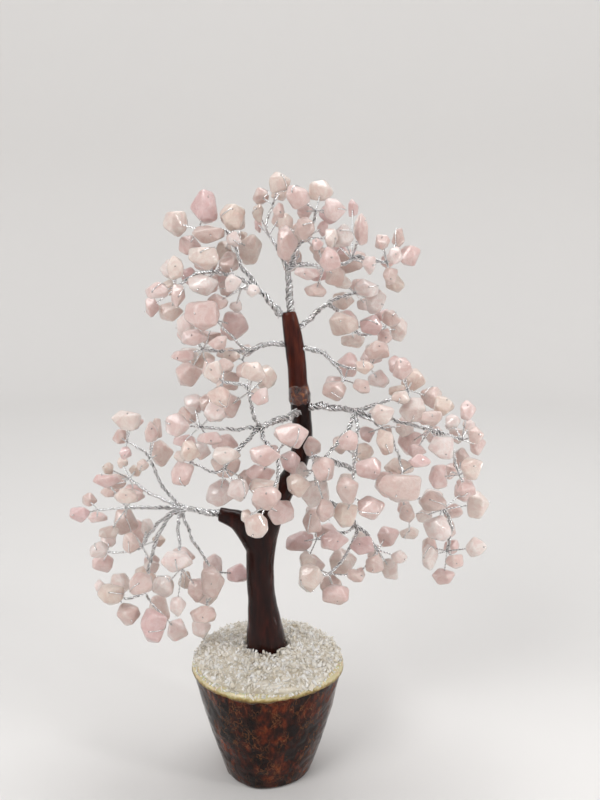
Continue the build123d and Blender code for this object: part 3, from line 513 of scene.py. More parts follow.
def drop_splinter(bm, shape, place, tilt, size, dice):
    """Adds one splinter to the heap at a place, leaning over by a tilt."""
    turn = Matrix.Rotation(dice.uniform(0, 2 * pi), 4, "Z") @ Matrix.Rotation(tilt, 4, "X")
    spin = Matrix.Rotation(dice.uniform(0, 2 * pi), 4, "Z")
    scale = Matrix.Diagonal((size * dice.uniform(*WIDTHS), size * dice.uniform(*DEPTHS), size, 1))
    copy = shape.copy()
    layer = copy.verts.layers.float["shade"]
    shade = dice.random()
    for vert in copy.verts:
        vert[layer] = shade
    bmesh.ops.transform(copy, matrix=Matrix.Translation(place) @ turn @ spin @ scale, verts=copy.verts)
    add_to(bm, copy)


# %% [markdown]
# A few splinter shapes are made once, and each is turned, stretched and dropped on the heap's own
# surface about a hundred times. A golden angle from one to the next spreads them evenly. More of them
# stand up round the trunk's foot, and more lie along the rim.

# %% The heap of crushed quartz
HEAP_SEED = 4
SPLINTER_SHAPES = 18
SPLINTER_COUNT = 1500
SPLINTER = 1.7 * MM
HEAP_RADIUS, HEAP_INNER = 36.7 * MM, 9.5 * MM
HEAP_SCATTER = 0.3 * MM
HEAP_LIFTS, HEAP_TILTS, HEAP_SIZES = (-0.5, 0.5), (1.0, 0.5), (0.6, 1.25)  # as in the bands
BIG_CHANCE, BIG = 0.06, 1.6
BANDS = (  # how many, the radii and lifts in millimetres, the tilts' middle and spread, and the sizes
    (90, (10.6, 14.0), (0.6, 2.6), (0, 0.4), (0.6, 1.05)),
    (170, (36.2, 37.3), (-0.4, 0.6), (1.3, 0.4), (0.45, 0.85)),
)
GOLDEN_ANGLE = pi * (3 - sqrt(5))
ABOVE_HEAP = 100 * MM
BARE_GLUE = LOG_HEIGHT + 2.0 * MM


def make_heap():
    """All splinters as one bmesh, on the surface of the frame's own heap."""
    ground = BVHTree.FromBMesh(merged("quartz_bed"))
    dice = random.Random(HEAP_SEED)
    shapes = [shard(dice, number % 3 == 0) for number in range(SPLINTER_SHAPES)]
    bm = bmesh.new()
    bm.verts.layers.float.new("shade")

    def drop(number, radius, lift, tilt, size):
        angle = number * GOLDEN_ANGLE
        spot = Vector((radius * cos(angle), radius * sin(angle), ABOVE_HEAP))
        hit = ground.ray_cast(spot, Vector((0, 0, -1)))[0]
        height = hit.z if hit else BARE_GLUE
        drop_splinter(bm, dice.choice(shapes), Vector((spot.x, spot.y, height + lift)), tilt, size, dice)

    for i in range(SPLINTER_COUNT):
        share = (i + 0.5) / SPLINTER_COUNT
        radius = sqrt(HEAP_INNER**2 + (HEAP_RADIUS**2 - HEAP_INNER**2) * share)
        radius += dice.gauss(0, HEAP_SCATTER)
        size = SPLINTER * (BIG if dice.random() < BIG_CHANCE else 1.0)
        drop(i, radius, dice.uniform(*HEAP_LIFTS) * MM, dice.gauss(*HEAP_TILTS),
             size * dice.uniform(*HEAP_SIZES))
    for count, radii, lifts, tilts, sizes in BANDS:
        for i in range(count):
            drop(i, dice.uniform(*radii) * MM, dice.uniform(*lifts) * MM, dice.gauss(*tilts),
                 SPLINTER * dice.uniform(*sizes))
    return bm


def crushed_quartz_material():
    """Crushed quartz: broken faces that are white inside, with clear and with greyish shards."""
    material, add, places = new_material(
        "crushed_quartz", Roughness=0.34, IOR=1.544, Specular_IOR_Level=0.35, Transmission_Weight=0.1,
        Subsurface_Weight=0.6, Subsurface_Scale=3 * MM, Subsurface_Radius=(1, 0.95, 0.88))
    shade = add("Attribute", {"attribute_name": "shade"}).outputs["Fac"]
    cloud = add("TexNoise", {"Scale": 0.2, "Detail": 3.0}, Vector=places)
    mixed = add("Math", {"operation": "MULTIPLY_ADD", "Value_001": 0.45}, Value=shade, Value_002=cloud)
    colour = add("ValToRGB", {"stops": [(0.42, "#D3C9B6"), (0.6, "#E9E1D2"), (0.8, "#F5F0E6"),
                                        (0.95, "#FEFCF7")]}, Fac=mixed)
    return finished(material, Base_Color=colour)


QUARTZ = crushed_quartz_material()
heap_mesh = mesh_of(make_heap(), "quartz_splinters", smooth=False)
finish_piece(heap_mesh, "trunk", QUARTZ, ["quartz_grains"])
finish_node("quartz_bed", QUARTZ)
print("heap:", len(heap_mesh.polygons), "faces")

# %% [markdown]
# The trunk is a bundle of wires under a wrapping that was brushed with thick brown lacquer. The
# lacquer is nearly black low down and warmer in the upper sleeve. Rings follow the middles of the
# trunk as the picture shows them, and a few soft lobes on each ring show the wires beneath.

# %% The trunk's routes
WRAP_FOOT_RADIUS = 12.2 * MM
# picture columns and rows of the middles, each with its radius as a share of the foot's radius
LOWER_TRUNK = [(266.5, 643, 0.85), (265, 625, 0.745), (262.5, 602, 0.60), (260.5, 578, 0.57),
               (261, 550, 0.59), (268, 522, 0.55), (281, 494, 0.47), (296, 468, 0.41),
               (302.5, 440, 0.395), (301.5, 416, 0.40), (300, 401, 0.39)]
UPPER_TRUNK = [(300, 400, 0.41), (298.5, 389, 0.385), (297, 365, 0.38), (294.5, 346, 0.385),
               (291.5, 328, 0.345), (289, 315, 0.30), (288.4, 311.5, 0.26)]
STUB = [(261, 548, 0.57), (252, 533, 0.56), (240, 521.5, 0.45), (229, 517, 0.345),
        (221, 514.4, 0.30), (218.8, 513.9, 0.28)]
BEAD = [(300, 403, 0.395), (299.8, 399.5, 0.425), (299.3, 393, 0.42), (298.6, 387.5, 0.40),
        (298.1, 384, 0.37)]
LOBES = ((0.5, 3, 0.03, 0), (0.3, 5, -0.05, 1))  # how high, how many, their drift at each ring, their start
LOBES_SUNK = 0.6
DENTS, DENT_SIZE = 1.1, 6 * MM


def smooth_line(points, steps):
    """A smooth curve through points of any size, with so many steps from each to the next."""
    ends = [points[0] * 2 - points[1]] + points + [points[-1] * 2 - points[-2]]
    line = []
    for a, b, c, d in zip(ends, ends[1:], ends[2:], ends[3:]):
        for step in range(steps):
            t = step / steps
            line.append((b * 2 + (c - a) * t + (a * 2 - b * 5 + c * 4 - d) * t**2
                         + (b * 3 - a - c * 3 + d) * t**3) / 2)
    return line + [points[-1]]


def trunk_line(points, steps, start=()):
    """Middles and radii along a stretch of trunk, as vectors of four numbers."""
    known = [Vector((*middle, radius)) for middle, radius in start]
    known += [Vector((*seen(column, row), share * WRAP_FOOT_RADIUS)) for column, row, share in points]
    return smooth_line(known, steps)


def carried_axes(line):
    """For each point of a line, two directions square to it that never twist about it."""
    middles = [Vector(point[:3]) for point in line]
    ways = [(b - a).normalized() for a, b in zip(middles, middles[1:])]
    along = [ways[0]] + [(a + b).normalized() for a, b in zip(ways, ways[1:])] + [ways[-1]]
    side = along[0].orthogonal().normalized()
    axes = []
    for way in along:
        side = (side - way * side.dot(way)).normalized()
        axes.append((side, way.cross(side)))
    return axes


def outward(axes, angle):
    """The direction at an angle round a line whose two axes are given."""
    side, over = axes
    return side * cos(angle) + over * sin(angle)


def lacquered_form(line, sides, lump_share):
    """A tube along a line, with soft lobes that wind slowly round it, and small dents."""
    axes = carried_axes(line)

    def place(ring, angle):
        middle, radius = Vector(line[ring][:3]), line[ring][3]
        way = outward(axes[ring], angle)
        lobe = sum(high * sin(count * angle + drift * ring + start)
                   for high, count, drift, start in LOBES)
        lump = lobe + DENTS * noise.noise((middle + way * radius) / DENT_SIZE)
        return middle + way * radius * (1 + lump_share * (lump - LOBES_SUNK))

    return tube(sides, len(line), place)


# %% [markdown]
# Lacquer is a deep brown pigment under a clear, very smooth coat. Noise stretched along the trunk
# gives the warmer streaks, and the coat alone makes the sharp long highlights. The stub grows out of
# the trunk, so both tubes are remeshed into one skin, which rounds the crotch as thick lacquer does.

# %% The lacquered trunk
SKIN_VOXEL = 0.55 * MM
SOFTENED, TIMES_SOFTENED = 0.6, 9


def lacquer_material(name, stops):
    """Thick oil lacquer: dark brown pigment, brushed along the trunk, under a clear coat."""
    material, add, places = new_material(
        name, (1, 1, 0.16), Roughness=0.6, Specular_IOR_Level=0.04,
        Coat_Weight=1.0, Coat_Roughness=0.04, Coat_IOR=1.28)
    streak = add("TexNoise", {"Scale": 0.33, "Detail": 4.0, "Roughness": 0.55}, Vector=places)
    return finished(material, Base_Color=add("ValToRGB", {"stops": stops}, Fac=streak))


def one_skin(piece):
    """Joins overlapping tubes of a piece into one skin and smooths where they meet."""
    remesh = piece.modifiers.new("one_skin", "REMESH")
    remesh.mode = "VOXEL"
    remesh.voxel_size = SKIN_VOXEL
    remesh.use_smooth_shade = True
    soften = piece.modifiers.new("soften", "SMOOTH")
    soften.factor = SOFTENED
    soften.iterations = TIMES_SOFTENED


DARK_LACQUER = lacquer_material("dark_brown_lacquer",
                                [(0.35, "#150302"), (0.55, "#250803"), (0.75, "#3B1007")])
WARM_LACQUER = lacquer_material("warm_brown_lacquer",
                                [(0.33, "#270905"), (0.5, "#40140A"), (0.7, "#652A16")])

lower_line = trunk_line(LOWER_TRUNK, steps=8, start=[(FOOT, WRAP_FOOT_RADIUS)])
lower_form = lacquered_form(lower_line, sides=40, lump_share=0.035)
add_to(lower_form, lacquered_form(trunk_line(STUB, steps=8), sides=32, lump_share=0.03))
upper_form = lacquered_form(trunk_line(UPPER_TRUNK, steps=9), sides=36, lump_share=0.04)

for form, form_name, lacquer, wrap in (
        (lower_form, "lacquered_lower_trunk", DARK_LACQUER, "lower_trunk_wrap"),
        (upper_form, "lacquered_upper_sleeve", WARM_LACQUER, "upper_trunk_wrap")):
    piece = finish_piece(mesh_of(form, form_name), "trunk", lacquer, [wrap])
    one_skin(piece)
    print(form_name, "-", len(piece.data.polygons), "faces before the remesh")

# %% [markdown]
# Where the two wrappings meet, a sleeve of clear brown glue was left. It is amber where it is thick,
# its lower edge is ragged, and it catches small bright lights.

# %% The knuckle's glue
BEAD_RAGGED = 1.2 * MM
BEAD_LUMP, BEAD_LUMP_SIZE = 0.35 * MM, 2.4 * MM


def make_bead():
    """A short tube round the joint, ragged at its lower end and lumpy in its middle."""
    line = trunk_line(BEAD, steps=5)
    axes = carried_axes(line)
    last = len(line) - 1

    def place(ring, angle):
        way = outward(axes[ring], angle)
        ragged = (1 - ring / last) ** 3 * BEAD_RAGGED * noise.noise(way * 2.5)
        down = (Vector(line[0][:3]) - Vector(line[1][:3])).normalized() * ragged
        middle, radius = Vector(line[ring][:3]), line[ring][3]
        lump = noise.noise((middle + way * radius) / BEAD_LUMP_SIZE) * sin(pi * ring / last)
        return middle + down + way * (radius + BEAD_LUMP * lump)

    return tube(48, len(line), place)


def amber_glue_material():
    """Brown hot glue: amber where light passes, dark at its edges, wet-looking."""
    material, add, places = new_material("amber_glue", Roughness=0.12, IOR=1.5, Coat_Weight=0.8,
                                         Subsurface_Weight=0.35, Subsurface_Scale=2 * MM)
    cloud = add("TexNoise", {"Scale": 0.32, "Detail": 6.0, "Roughness": 0.62, "Distortion": 0.8},
                Vector=places)
    colour = add("ValToRGB", {"stops": [(0.36, "#260B05"), (0.5, "#4E1E0E"), (0.6, "#7C3E14"),
                                        (0.72, "#B06C2A")]}, Fac=cloud)
    bump = add("Bump", {"Distance": 0.7 * MM}, Height=cloud)
    return finished(material, Base_Color=colour, Normal=bump)


bead_mesh = mesh_of(make_bead(), "amber_knuckle_glue")
finish_piece(bead_mesh, "trunk", amber_glue_material(), ["knuckle_bead"])
print("knuckle:", len(bead_mesh.polygons), "faces")

# %% [markdown]
# Each limb is a bundle of fine wires that were twisted by hand. It divides into branchlets, a
# branchlet ends in a knot, and from a knot twisted pairs go on to the chips. The limbs' places are
# given as they show: the root in the trunk, the bend and the fork, then each knot with the number of
# the knot that its branchlet goes on from.

# %% The limbs' places
TRUNK_FORK = -1
ROOT_DEPTH = 1.4 * MM
DEEPER_ROOTS = {"crown_left": 2.1 * MM}  # it leaves beside the sleeve's narrow tip
STEM_STEPS, BRANCHLET_STEPS = 12, 8
BRANCHLET_LEAD = 0.38  # how far a branchlet goes straight on, as a share of its way to the knot
LIMBS = {
    "crest": [(290.5, 310, 0.0), (289, 290, 0.0), (288, 276, -0.02),
              (305, 238, -0.12, -1), (316, 211, -0.18, 0), (269, 235, 0.06, -1), (273, 204, 0.08, 2),
              (299, 256, 0.10, -1), (324, 267, -0.20, -1), (352, 259, -0.06, 5), (387, 263, 0.02, 6)],
    "crown_left": [(291.0, 330, 0.0), (272, 303, -0.02), (262, 293, -0.04),
                   (231, 238, 0.08, -1), (199, 229, 0.12, 0), (214, 272, 0.02, -1), (241, 289, -0.26, -1),
                   (176, 288, 0.10, 2)],
    "left_upper": [(293.5, 345, 0.0), (268, 342, -0.02), (258, 347, -0.04),
                   (218, 321, -0.10, -1), (203, 349, 0.00, -1), (242, 360, 0.04, -1)],
    "right_upper": [(292.0, 334, 0.0), (312, 317, 0.14), (323, 307, 0.26),
                    (355, 293, 0.42, -1), (352, 328, 0.36, -1), (383, 330, 0.50, 1)],
    "right_small": [(295.0, 350, 0.0), (318, 346, -0.06), (329, 358, -0.10),
                    (345, 380, -0.16, -1), (370, 368, -0.02, -1)],
    "left_front": [(301.3, 411, 0.0), (289, 416, -0.30), (266, 425, -0.46),
                   (249, 392, -0.60, -1), (223, 382, -0.58, 0), (200, 427, -0.50, -1), (224, 468, -0.60, -1),
                   (191, 462, -0.54, 3), (275, 454, -0.68, -1), (266, 506, -0.84, 5)],
    "right_main": [(301.0, 407, 0.0), (328, 406, -0.10), (346, 409, -0.20),
                   (314, 470, -0.50, -1), (355, 456, -0.52, -1), (353, 497, -0.62, 1), (382, 428, -0.34, -1),
                   (408, 390, -0.16, -1), (403, 472, -0.62, 3), (430, 430, -0.30, -1), (462, 440, -0.20, 6),
                   (459, 475, -0.26, 6)],
    "right_low": [(299.0, 455, 0.0), (345, 462, 0.36), (392, 486, 0.38),
                  (441, 510, 0.30, -1), (409, 522, 0.36, -1), (447, 551, 0.34, 0)],
    "right_hanging": [(285.0, 488, 0.0), (325, 494, 0.30), (352, 520, 0.30),
                      (317, 539, 0.20, -1), (329, 574, 0.16, -1), (378, 550, 0.24, -1)],
    "left_low": [(219.0, 514, 0.0), (206, 511, 0.0), (192, 509, 0.0),
                 (150, 459, 0.08, -1), (127, 442, 0.12, 0), (130, 479, 0.26, -1), (127, 508, -0.10, -1),
                 (98, 510, -0.10, 3), (142, 546, 0.16, -1), (108, 552, 0.22, 5), (146, 588, -0.04, -1),
                 (119, 598, -0.02, 7), (161, 613, -0.08, 7), (182, 568, -0.26, -1), (214, 572, 0.00, -1),
                 (207, 603, 0.04, 11)],
}


def bent_line(a, b, c, steps):
    """A curve that leaves a towards b and arrives at c, in so many steps."""
    shares = [i / steps for i in range(steps + 1)]
    return [a * (1 - share) ** 2 + b * (2 * share * (1 - share)) + c * share**2 for share in shares]


def limb_routes(name):
    """The stem's curve, then each branchlet's curve."""
    root, bend, fork = (seen(*place) for place in LIMBS[name][:3])
    mouth = Vector(next(joint["pos_m"] for joint in frame["joints"] if joint["child"] == name))
    start = mouth - (bend - root).normalized() * DEEPER_ROOTS.get(name, ROOT_DEPTH)
    routes = [bent_line(start, bend, fork, STEM_STEPS)]
    for column, row, depth, carrier in LIMBS[name][3:]:
        knot = seen(column, row, depth)
        begin = routes[carrier + 1][-1]
        before = bend if carrier == TRUNK_FORK else routes[carrier + 1][-2]
        turn = begin + (begin - before).normalized() * (BRANCHLET_LEAD * (knot - begin).length)
        routes.append(bent_line(begin, turn, knot, BRANCHLET_STEPS))
    return routes


# %% [markdown]
# A pair is two wires that wind round one line. Each wire is one spline of a curve with a round bevel,
# so all pairs of a limb are one object. The wires are half a millimetre thick, and a pair makes a full
# turn in about three and a half millimetres.

# %% Twisted pairs
WIRE_RADIUS = 0.24 * MM
PAIR_PITCH = 3.6 * MM
LAST_STEP_SHARE = 0.3


def resampled(route, step):
    """The same line with points at even steps."""
    line = smooth_line(route, steps=4)
    places = [line[0]]
    gone = 0.0
    for a, b in zip(line, line[1:]):
        length = (b - a).length
        while gone + length >= step:
            a = a + (b - a).normalized() * (step - gone)
            length = (b - a).length
            places.append(a)
            gone = 0.0
        gone += length
    if gone > step * LAST_STEP_SHARE or len(places) < 3:
        places.append(line[-1])
    return places


def wound(line, reach, turn):
    """A line that winds round another, at a reach and an angle that depend on the point's number."""
    return [place + outward(axes, turn(i)) * reach(i)
            for i, (place, axes) in enumerate(zip(line, carried_axes(line)))]


def wire_curve(name):
    """An empty curve whose splines will be round wires with closed ends."""
    curve = bpy.data.curves.new(name, "CURVE")
    curve.dimensions = "3D"
    curve.bevel_depth = WIRE_RADIUS
    curve.bevel_resolution = 1
    curve.use_fill_caps = True
    return curve


def add_spline(curve, points):
    """One wire through the points."""
    spline = curve.splines.new("POLY")
    spline.points.add(len(points) - 1)
    for spot, point in zip(spline.points, points):
        spot.co = (*point, 1)
    spline.use_smooth = True


def add_pair(curve, line, phase, step):
    """Two wires twisted round each other along a line."""
    for half in (0, pi):
        add_spline(curve, wound(line, lambda i: WIRE_RADIUS,
                                lambda i: phase + half + 2 * pi * i * step / PAIR_PITCH))


# %% [markdown]
# A rope of wires is drawn as what it is: several twisted pairs that wind round each other by hand. Its
# line sways a little, every second pair lies deeper, and noise makes each pair stray from its place.

# %% Ropes of twisted pairs
ROPE_STEP = 0.48 * MM
SWAY, SWAY_SIZE = 1.3 * MM, 6 * MM
DEEPER_SHARE = 0.28
STRAY_REACH, STRAY_TURN, STRAY_SIZE = 0.45, 0.9, 7 * MM
FAR_IN_NOISE = 50


def noise_shift(dice):
    """A place far away in the noise, so that no two pieces get the same pattern."""
    return Vector([dice.uniform(-FAR_IN_NOISE, FAR_IN_NOISE) for _ in range(3)])


def add_rope(curve, route, pairs, radii, pitch, dice):
    """Pairs of wires that wind loosely round a line, from one radius of rope to another."""
    line = resampled(route, ROPE_STEP)
    start = dice.uniform(0, 2 * pi)
    shift = noise_shift(dice)
    for i, place in enumerate(line):
        sway = SWAY * sin(pi * i / (len(line) - 1))
        line[i] = place + noise.noise_vector(place / SWAY_SIZE + shift) * sway
    for k in range(pairs):
        seed = Vector((0, 7 * k, dice.uniform(0, 99)))
        share = 1.0 - DEEPER_SHARE * (k % 2)

        def stray(i):
            return noise.noise(seed + Vector((i * ROPE_STEP / STRAY_SIZE, 0, 0)))

        def reach(i):
            radius = radii[0] + (radii[1] - radii[0]) * i / (len(line) - 1)
            return max(radius - 2 * WIRE_RADIUS, WIRE_RADIUS) * (share + STRAY_REACH * stray(i))

        def turn(i):
            return start + 2 * pi * (k / pairs + i * ROPE_STEP / pitch) + STRAY_TURN * stray(i)

        add_pair(curve, wound(line, reach, turn), dice.uniform(0, 6), ROPE_STEP)


# %% [markdown]
# The wire is tinned, a soft bright metal with a few duller places where it was handled. Between the
# strands its colour is darkened with painted shade, which the Ambient Occlusion node finds on any
# shape: it darkens what lies close to other wire.

# %% Tinned wire


def wire_material():
    """Tinned wire: bright soft metal, duller where it was handled, with painted shade between the strands.
    """
    material, add, places = new_material("tinned_wire", Metallic=1.0)
    worn = add("TexNoise", {"Scale": 0.35, "Detail": 2.0}, Vector=places)
    bright = add("ValToRGB", {"stops": [(0.3, "#D2D1CF"), (0.5, "#EDEEEF"), (0.75, "#FAFBFB")]}, Fac=worn)
    # painted shade: Ambient Occlusion pulls the colour towards #3A3B3D where strands lie close together
    painted_crevice_shade = add("AmbientOcclusion", {"samples": 6, "only_local": True, "Distance": 0.9 * MM})
    unshaded_share = add("MapRange", {"From Min": 0.3, "From Max": 0.85}, Value=painted_crevice_shade.outputs["AO"])
    colour = add("Mix", {"data_type": "RGBA", "A_Color": linear("#3A3B3D")},
                 B_Color=bright, Factor_Float=unshaded_share)
    rough = add("MapRange", {"To Min": 0.3, "To Max": 0.18}, Value=worn)
    return finished(material, Base_Color=colour.outputs[MIXED_COLOUR], Roughness=rough)


WIRE = wire_material()
finish_node("trunk_wire_core", WIRE)

# %% [markdown]
# The stones are chips of rose quartz that were tumbled only until their edges went round: they keep
# flat faces. The frame has each chip as a few facets. Each becomes a stone of the same size: the hull
# swells a little to make up for what rounding takes away, its edges are bevelled, and normals weighted
# by area keep the big faces flat to the eye.

# %% Tumbled stones
STONE_SWELL = 1.08
MERGE_ANGLE = radians(9)
EDGE_SHARE = 0.2
UNEVEN, UNEVEN_SIZE = 0.45 * MM, 3.5 * MM


def separate_solids(node):
    """The corners of each separate solid of a frame node."""
    bm = merged(node)
    groups = []
    waiting = set(bm.verts)
    for vert in bm.verts:
        if vert not in waiting:
            continue
        group = [vert]
        waiting.discard(vert)
        for member in group:
            for edge in member.link_edges:
                other = edge.other_vert(member)
                if other in waiting:
                    waiting.discard(other)
                    group.append(other)
        groups.append([member.co.copy() for member in group])
    bm.free()
    return groups


def tumbled_stone(corners, shade, dice):
    """One chip as a closed bmesh with its own shade stored on its corners, and its middle."""
    middle = sum(corners, Vector()) / len(corners)
    bm = bmesh.new()
    for corner in corners:
        bm.verts.new(middle + (corner - middle) * STONE_SWELL)
    bmesh.ops.convex_hull(bm, input=bm.verts)
    bmesh.ops.dissolve_limit(bm, angle_limit=MERGE_ANGLE, verts=bm.verts, edges=bm.edges)
    size = min(max(c[i] for c in corners) - min(c[i] for c in corners) for i in range(3)) / 2
    bmesh.ops.bevel(bm, geom=bm.edges[:], offset=size * EDGE_SHARE, offset_type="OFFSET", segments=2,
                    profile=0.5, affect="EDGES", clamp_overlap=True, material=-1)
    bmesh.ops.recalc_face_normals(bm, faces=bm.faces)
    shift = noise_shift(dice)
    layer = bm.verts.layers.float.new("shade")
    for vert in bm.verts:
        vert.co += (vert.co - middle).normalized() * noise.noise(vert.co / UNEVEN_SIZE + shift) * UNEVEN
        vert[layer] = shade
    return bm, middle


# %% [markdown]
# Rose quartz is cloudy: light goes in, scatters and comes out pinker, so most of the colour comes from
# subsurface scattering. Each stone has its own shade, and milky clouds and fine veins run through it.

# %% The finish of rose quartz


def stone_material():
    """Tumbled rose quartz: cloudy pale pink stone that light soaks into, under a glossy polish."""
    material, add, places = new_material(
        "tumbled_rose_quartz", Roughness=0.3, IOR=1.544, Specular_IOR_Level=0.45, Transmission_Weight=0.22,
        Coat_Weight=0.75, Coat_Roughness=0.06,
        Subsurface_Weight=0.6, Subsurface_Scale=3 * MM, Subsurface_Radius=(1.0, 0.92, 0.9))
    shade = add("Attribute", {"attribute_name": "shade"}).outputs["Fac"]
    stone = add("ValToRGB", {"stops": [(0.0, "#E0CEC7"), (0.16, "#EAD8D1"), (0.34, "#F0DAD6"),
                                       (0.52, "#F8F0EC"), (0.68, "#F0E3DA"), (0.84, "#EBD0CF"),
                                       (0.95, "#F1E3D8"), (1.0, "#DDD0C6")]}, Fac=shade)
    cloud = add("TexNoise", {"Scale": 0.18, "Detail": 5.0, "Roughness": 0.6, "Distortion": 1.2},
                Vector=places)
    milk = add("ValToRGB", {"stops": [(0.36, "#EBD6D3"), (0.48, "#F5EBE9"), (0.56, "#FFFFFF"),
                                      (0.62, "#F3E6E3"), (0.72, "#FFFFFF")]}, Fac=cloud)
    mixed = add("Mix", {"data_type": "RGBA", "blend_type": "MULTIPLY", "Factor_Float": 0.6},
                A_Color=stone, B_Color=milk)
    vein = add("TexNoise", {"Scale": 0.5, "Detail": 5.0, "Distortion": 1.5}, Vector=places)
    bump = add("Bump", {"Distance": 0.35 * MM}, Height=vein)
    return finished(material, Base_Color=mixed.outputs[MIXED_COLOUR], Normal=bump)


def hole_shade_and_dust_material():
    """The mouth of a drilled hole: painted shade in dark pink-brown, with pale grinding dust in it."""
    material, add, places = new_material("drilled_hole_shade_and_dust", Roughness=0.8, IOR=1.544)
    dust = add("TexNoise", {"Scale": 2.5, "Detail": 4.0}, Vector=places)
    # painted shade: the dark browns stand for the shadow inside the hole, the paler stops are grinding dust
    colour = add("ValToRGB", {"stops": [(0.38, "#5E433E"), (0.55, "#7D605A"), (0.7, "#A88F88")]}, Fac=dust)
    return finished(material, Base_Color=colour)


STONE = stone_material()
HOLE_SHADE_AND_DUST = hole_shade_and_dust_material()

# %% [markdown]
# A twig of the frame is a thin prism from its knot to its chip, so its line points at the chip's
# middle. That gives the pairs of chip and twig, and the line of the drilled hole. The wire comes out at
# the far end of the hole and is nipped short, or it is folded back along the stone to the twig.

# %% Twigs, loops and holes
LOOP_STEPS = 9
LOOP_CHANCE = 0.35
LOOP_CLEARANCE = 1.1  # how far a loop's middle line is from the stone, in radii of the wire
WIRE_IN_HOLE, WIRE_OUT, NIPPED_AT = 0.8 * MM, 0.35 * MM, 0.8 * MM
STONE_REACH = 14 * MM
FAR = 30 * MM
HOLE_RADIUS, HOLE_TAPER = 0.4 * MM, 0.85
HOLE_DEPTH, HOLE_SUNK = 0.3 * MM, 0.11 * MM


def twig_lines(name):
    """Each twig's thin root, its thick end and the direction from the one to the other."""
    lines = []
    for corners in separate_solids(f"{name}_twigs"):
        middle = sum(corners, Vector()) / len(corners)
        way = max((corner - middle for corner in corners), key=lambda offset: offset.length).normalized()
        halves = [[c for c in corners if (c - middle).dot(way) * sign > 0] for sign in (1, -1)]
        ends = [sum(half, Vector()) / len(half) for half in halves]
        widths = [sum((c - end).length for c in half) for half, end in zip(halves, ends)]
        thick, thin = ends if widths[0] > widths[1] else reversed(ends)
        lines.append((thin, thick, (thick - thin).normalized()))
    return lines


def own_chip(end, way, middles):
    """The number of the chip that a twig points at."""

    def miss(number):
        offset = middles[number] - end
        ahead = offset.dot(way)
        return (offset - way * ahead).length + (0 if 0 < ahead < STONE_REACH else 1)

    return min(range(len(middles)), key=miss)


def wire_end(surface, middle, way, end, dice):
    """The wire beyond the far end of the hole, and where that is with its normal."""
    hole, normal, _, _ = surface.ray_cast(middle + way * FAR, -way)
    points = [hole - way * WIRE_IN_HOLE, hole + way * WIRE_OUT]
    side = (Matrix.Rotation(dice.uniform(0, 2 * pi), 3, way) @ way.orthogonal()).normalized()
    if dice.random() > LOOP_CHANCE:
        return points + [hole + (way + side * 0.5) * NIPPED_AT], hole, normal
    for step in range(1, LOOP_STEPS):
        angle = pi * step / LOOP_STEPS
        out = way * cos(angle) + side * sin(angle)
        points.append(surface.ray_cast(middle + out * FAR, -out)[0] + out * WIRE_RADIUS * LOOP_CLEARANCE)
    return points + [end], hole, normal


def add_hole(holes, place, normal):
    """A small plug that lies in a stone's surface like the mouth of a hole, dark with painted shade."""
    turn = normal.to_track_quat("Z", "Y").to_matrix().to_4x4()
    bmesh.ops.create_cone(holes, segments=9, radius1=HOLE_RADIUS, radius2=HOLE_TAPER * HOLE_RADIUS,
                          depth=HOLE_DEPTH, cap_ends=True,
                          matrix=Matrix.Translation(place - normal * HOLE_SUNK) @ turn)


# %% [markdown]
# A limb is dressed from its ends inwards: first the stones, then the twisted pair of each twig, and
# last the ropes, which are as thick as the number of chips that hang on them asks for.

# %% Dress the limbs
FINE_STEP = 0.4 * MM
TWIG_IN_CHIP = 0.6 * MM
STEM_RADIUS, LEAST_STEM = 2.0 * MM, 0.6
FULL_STEM_CHIPS = 90
STEM_ROPES = ((6, 1.1, 0.85, 9.5 * MM), (3, 0.6, 0.5, 9 * MM))  # pairs, two shares of the radius, pitch
BRANCHLET_RADII = (0.7 * MM, 1.4 * MM)
BRANCHLET_TAPER, BRANCHLET_PITCH = 0.75, 8.5 * MM
CHIPS_OF_THINNEST = 2.2
MORE_PAIRS_FROM = (0.85 * MM, 1.15 * MM)  # a branchlet has two pairs, and one more from each radius
FLAT_FACE_WEIGHT = 60


def carried_chips(name, knot_chips, number):
    """How many chips hang on a knot and on all knots beyond it."""
    onward = [other for other, place in enumerate(LIMBS[name][3:]) if place[3] == number]
    return knot_chips[number] + sum(carried_chips(name, knot_chips, other) for other in onward)


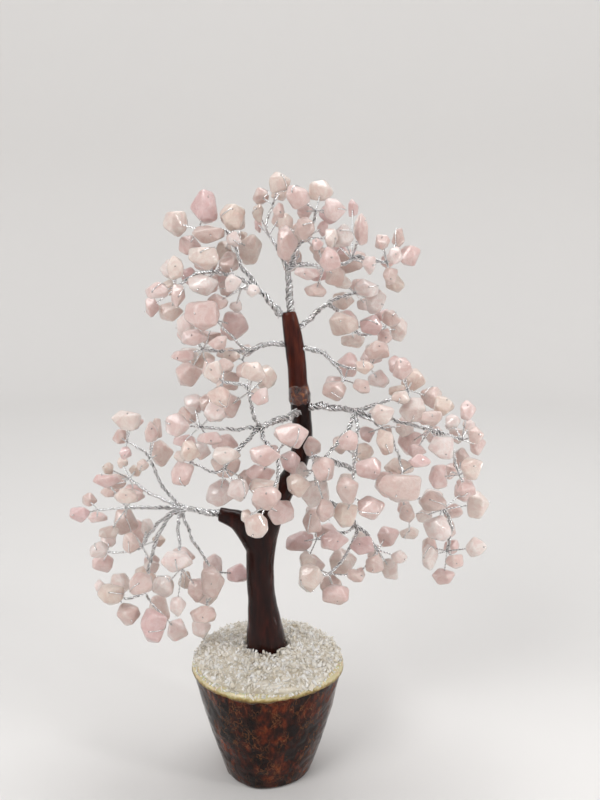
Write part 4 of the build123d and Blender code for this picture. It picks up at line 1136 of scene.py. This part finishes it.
def add_limb_ropes(curve, name, routes, knot_chips, dice):
    """The stem's two ropes, one inside the other, and a rope for each branchlet."""
    stem = STEM_RADIUS * min(1.0, LEAST_STEM + sum(knot_chips) / FULL_STEM_CHIPS)
    for pairs, first, last, pitch in STEM_ROPES:
        add_rope(curve, routes[0], pairs, (first * stem, last * stem), pitch, dice)
    low, high = BRANCHLET_RADII
    for number, route in enumerate(routes[1:]):
        chips = carried_chips(name, knot_chips, number)
        radius = min(high, low * sqrt(chips / CHIPS_OF_THINNEST))
        pairs = 2 + sum(radius > size for size in MORE_PAIRS_FROM)
        add_rope(curve, route, pairs, (radius, BRANCHLET_TAPER * radius), BRANCHLET_PITCH, dice)


def make_stones(name, dice):
    """A limb's stones as one bmesh, and the surface and the middle of each."""
    stones, surfaces, middles = bmesh.new(), [], []
    for corners in separate_solids(f"{name}_chips"):
        stone, middle = tumbled_stone(corners, dice.random(), dice)
        surfaces.append(BVHTree.FromBMesh(stone))
        middles.append(middle)
        add_to(stones, stone)
    return stones, surfaces, middles


def dress_limb(name):
    """Puts stones, holes, twisted pairs and ropes of wire in place of a limb's plain solids."""
    dice = random.Random(name)
    stones, surfaces, middles = make_stones(name, dice)
    holes = bmesh.new()
    routes = limb_routes(name)
    knots = [route[-1] for route in routes[1:]]
    knot_chips = [0] * len(knots)
    twists = wire_curve(f"{name}_twisted_pairs")
    for start, end, way in twig_lines(name):
        chip = own_chip(end, way, middles)
        knot = min(range(len(knots)), key=lambda k: (knots[k] - start).length)
        knot_chips[knot] += 1
        loop, hole, normal = wire_end(surfaces[chip], middles[chip], way, end, dice)
        add_spline(twists, loop)
        route = resampled([knots[knot], start, (start + end) / 2, end + way * TWIG_IN_CHIP], FINE_STEP)
        add_pair(twists, route, dice.uniform(0, 6), FINE_STEP)
        add_hole(holes, hole, normal)
    ropes = wire_curve(f"{name}_wire_ropes")
    add_limb_ropes(ropes, name, routes, knot_chips, dice)
    stones_mesh = mesh_of(stones, f"{name}_rose_quartz")
    stones_piece = finish_piece(stones_mesh, name, STONE, [f"{name}_chips"])
    stones_piece.modifiers.new("flat_faces", "WEIGHTED_NORMAL").weight = FLAT_FACE_WEIGHT
    finish_piece(mesh_of(holes, f"{name}_hole_shade_plugs"), name, HOLE_SHADE_AND_DUST)
    finish_piece(twists, name, WIRE, [f"{name}_twigs"])
    finish_piece(ropes, name, WIRE, [f"{name}_wires"])
    print(name, "-", len(middles), "stones")


for limb in LIMBS:
    dress_limb(limb)
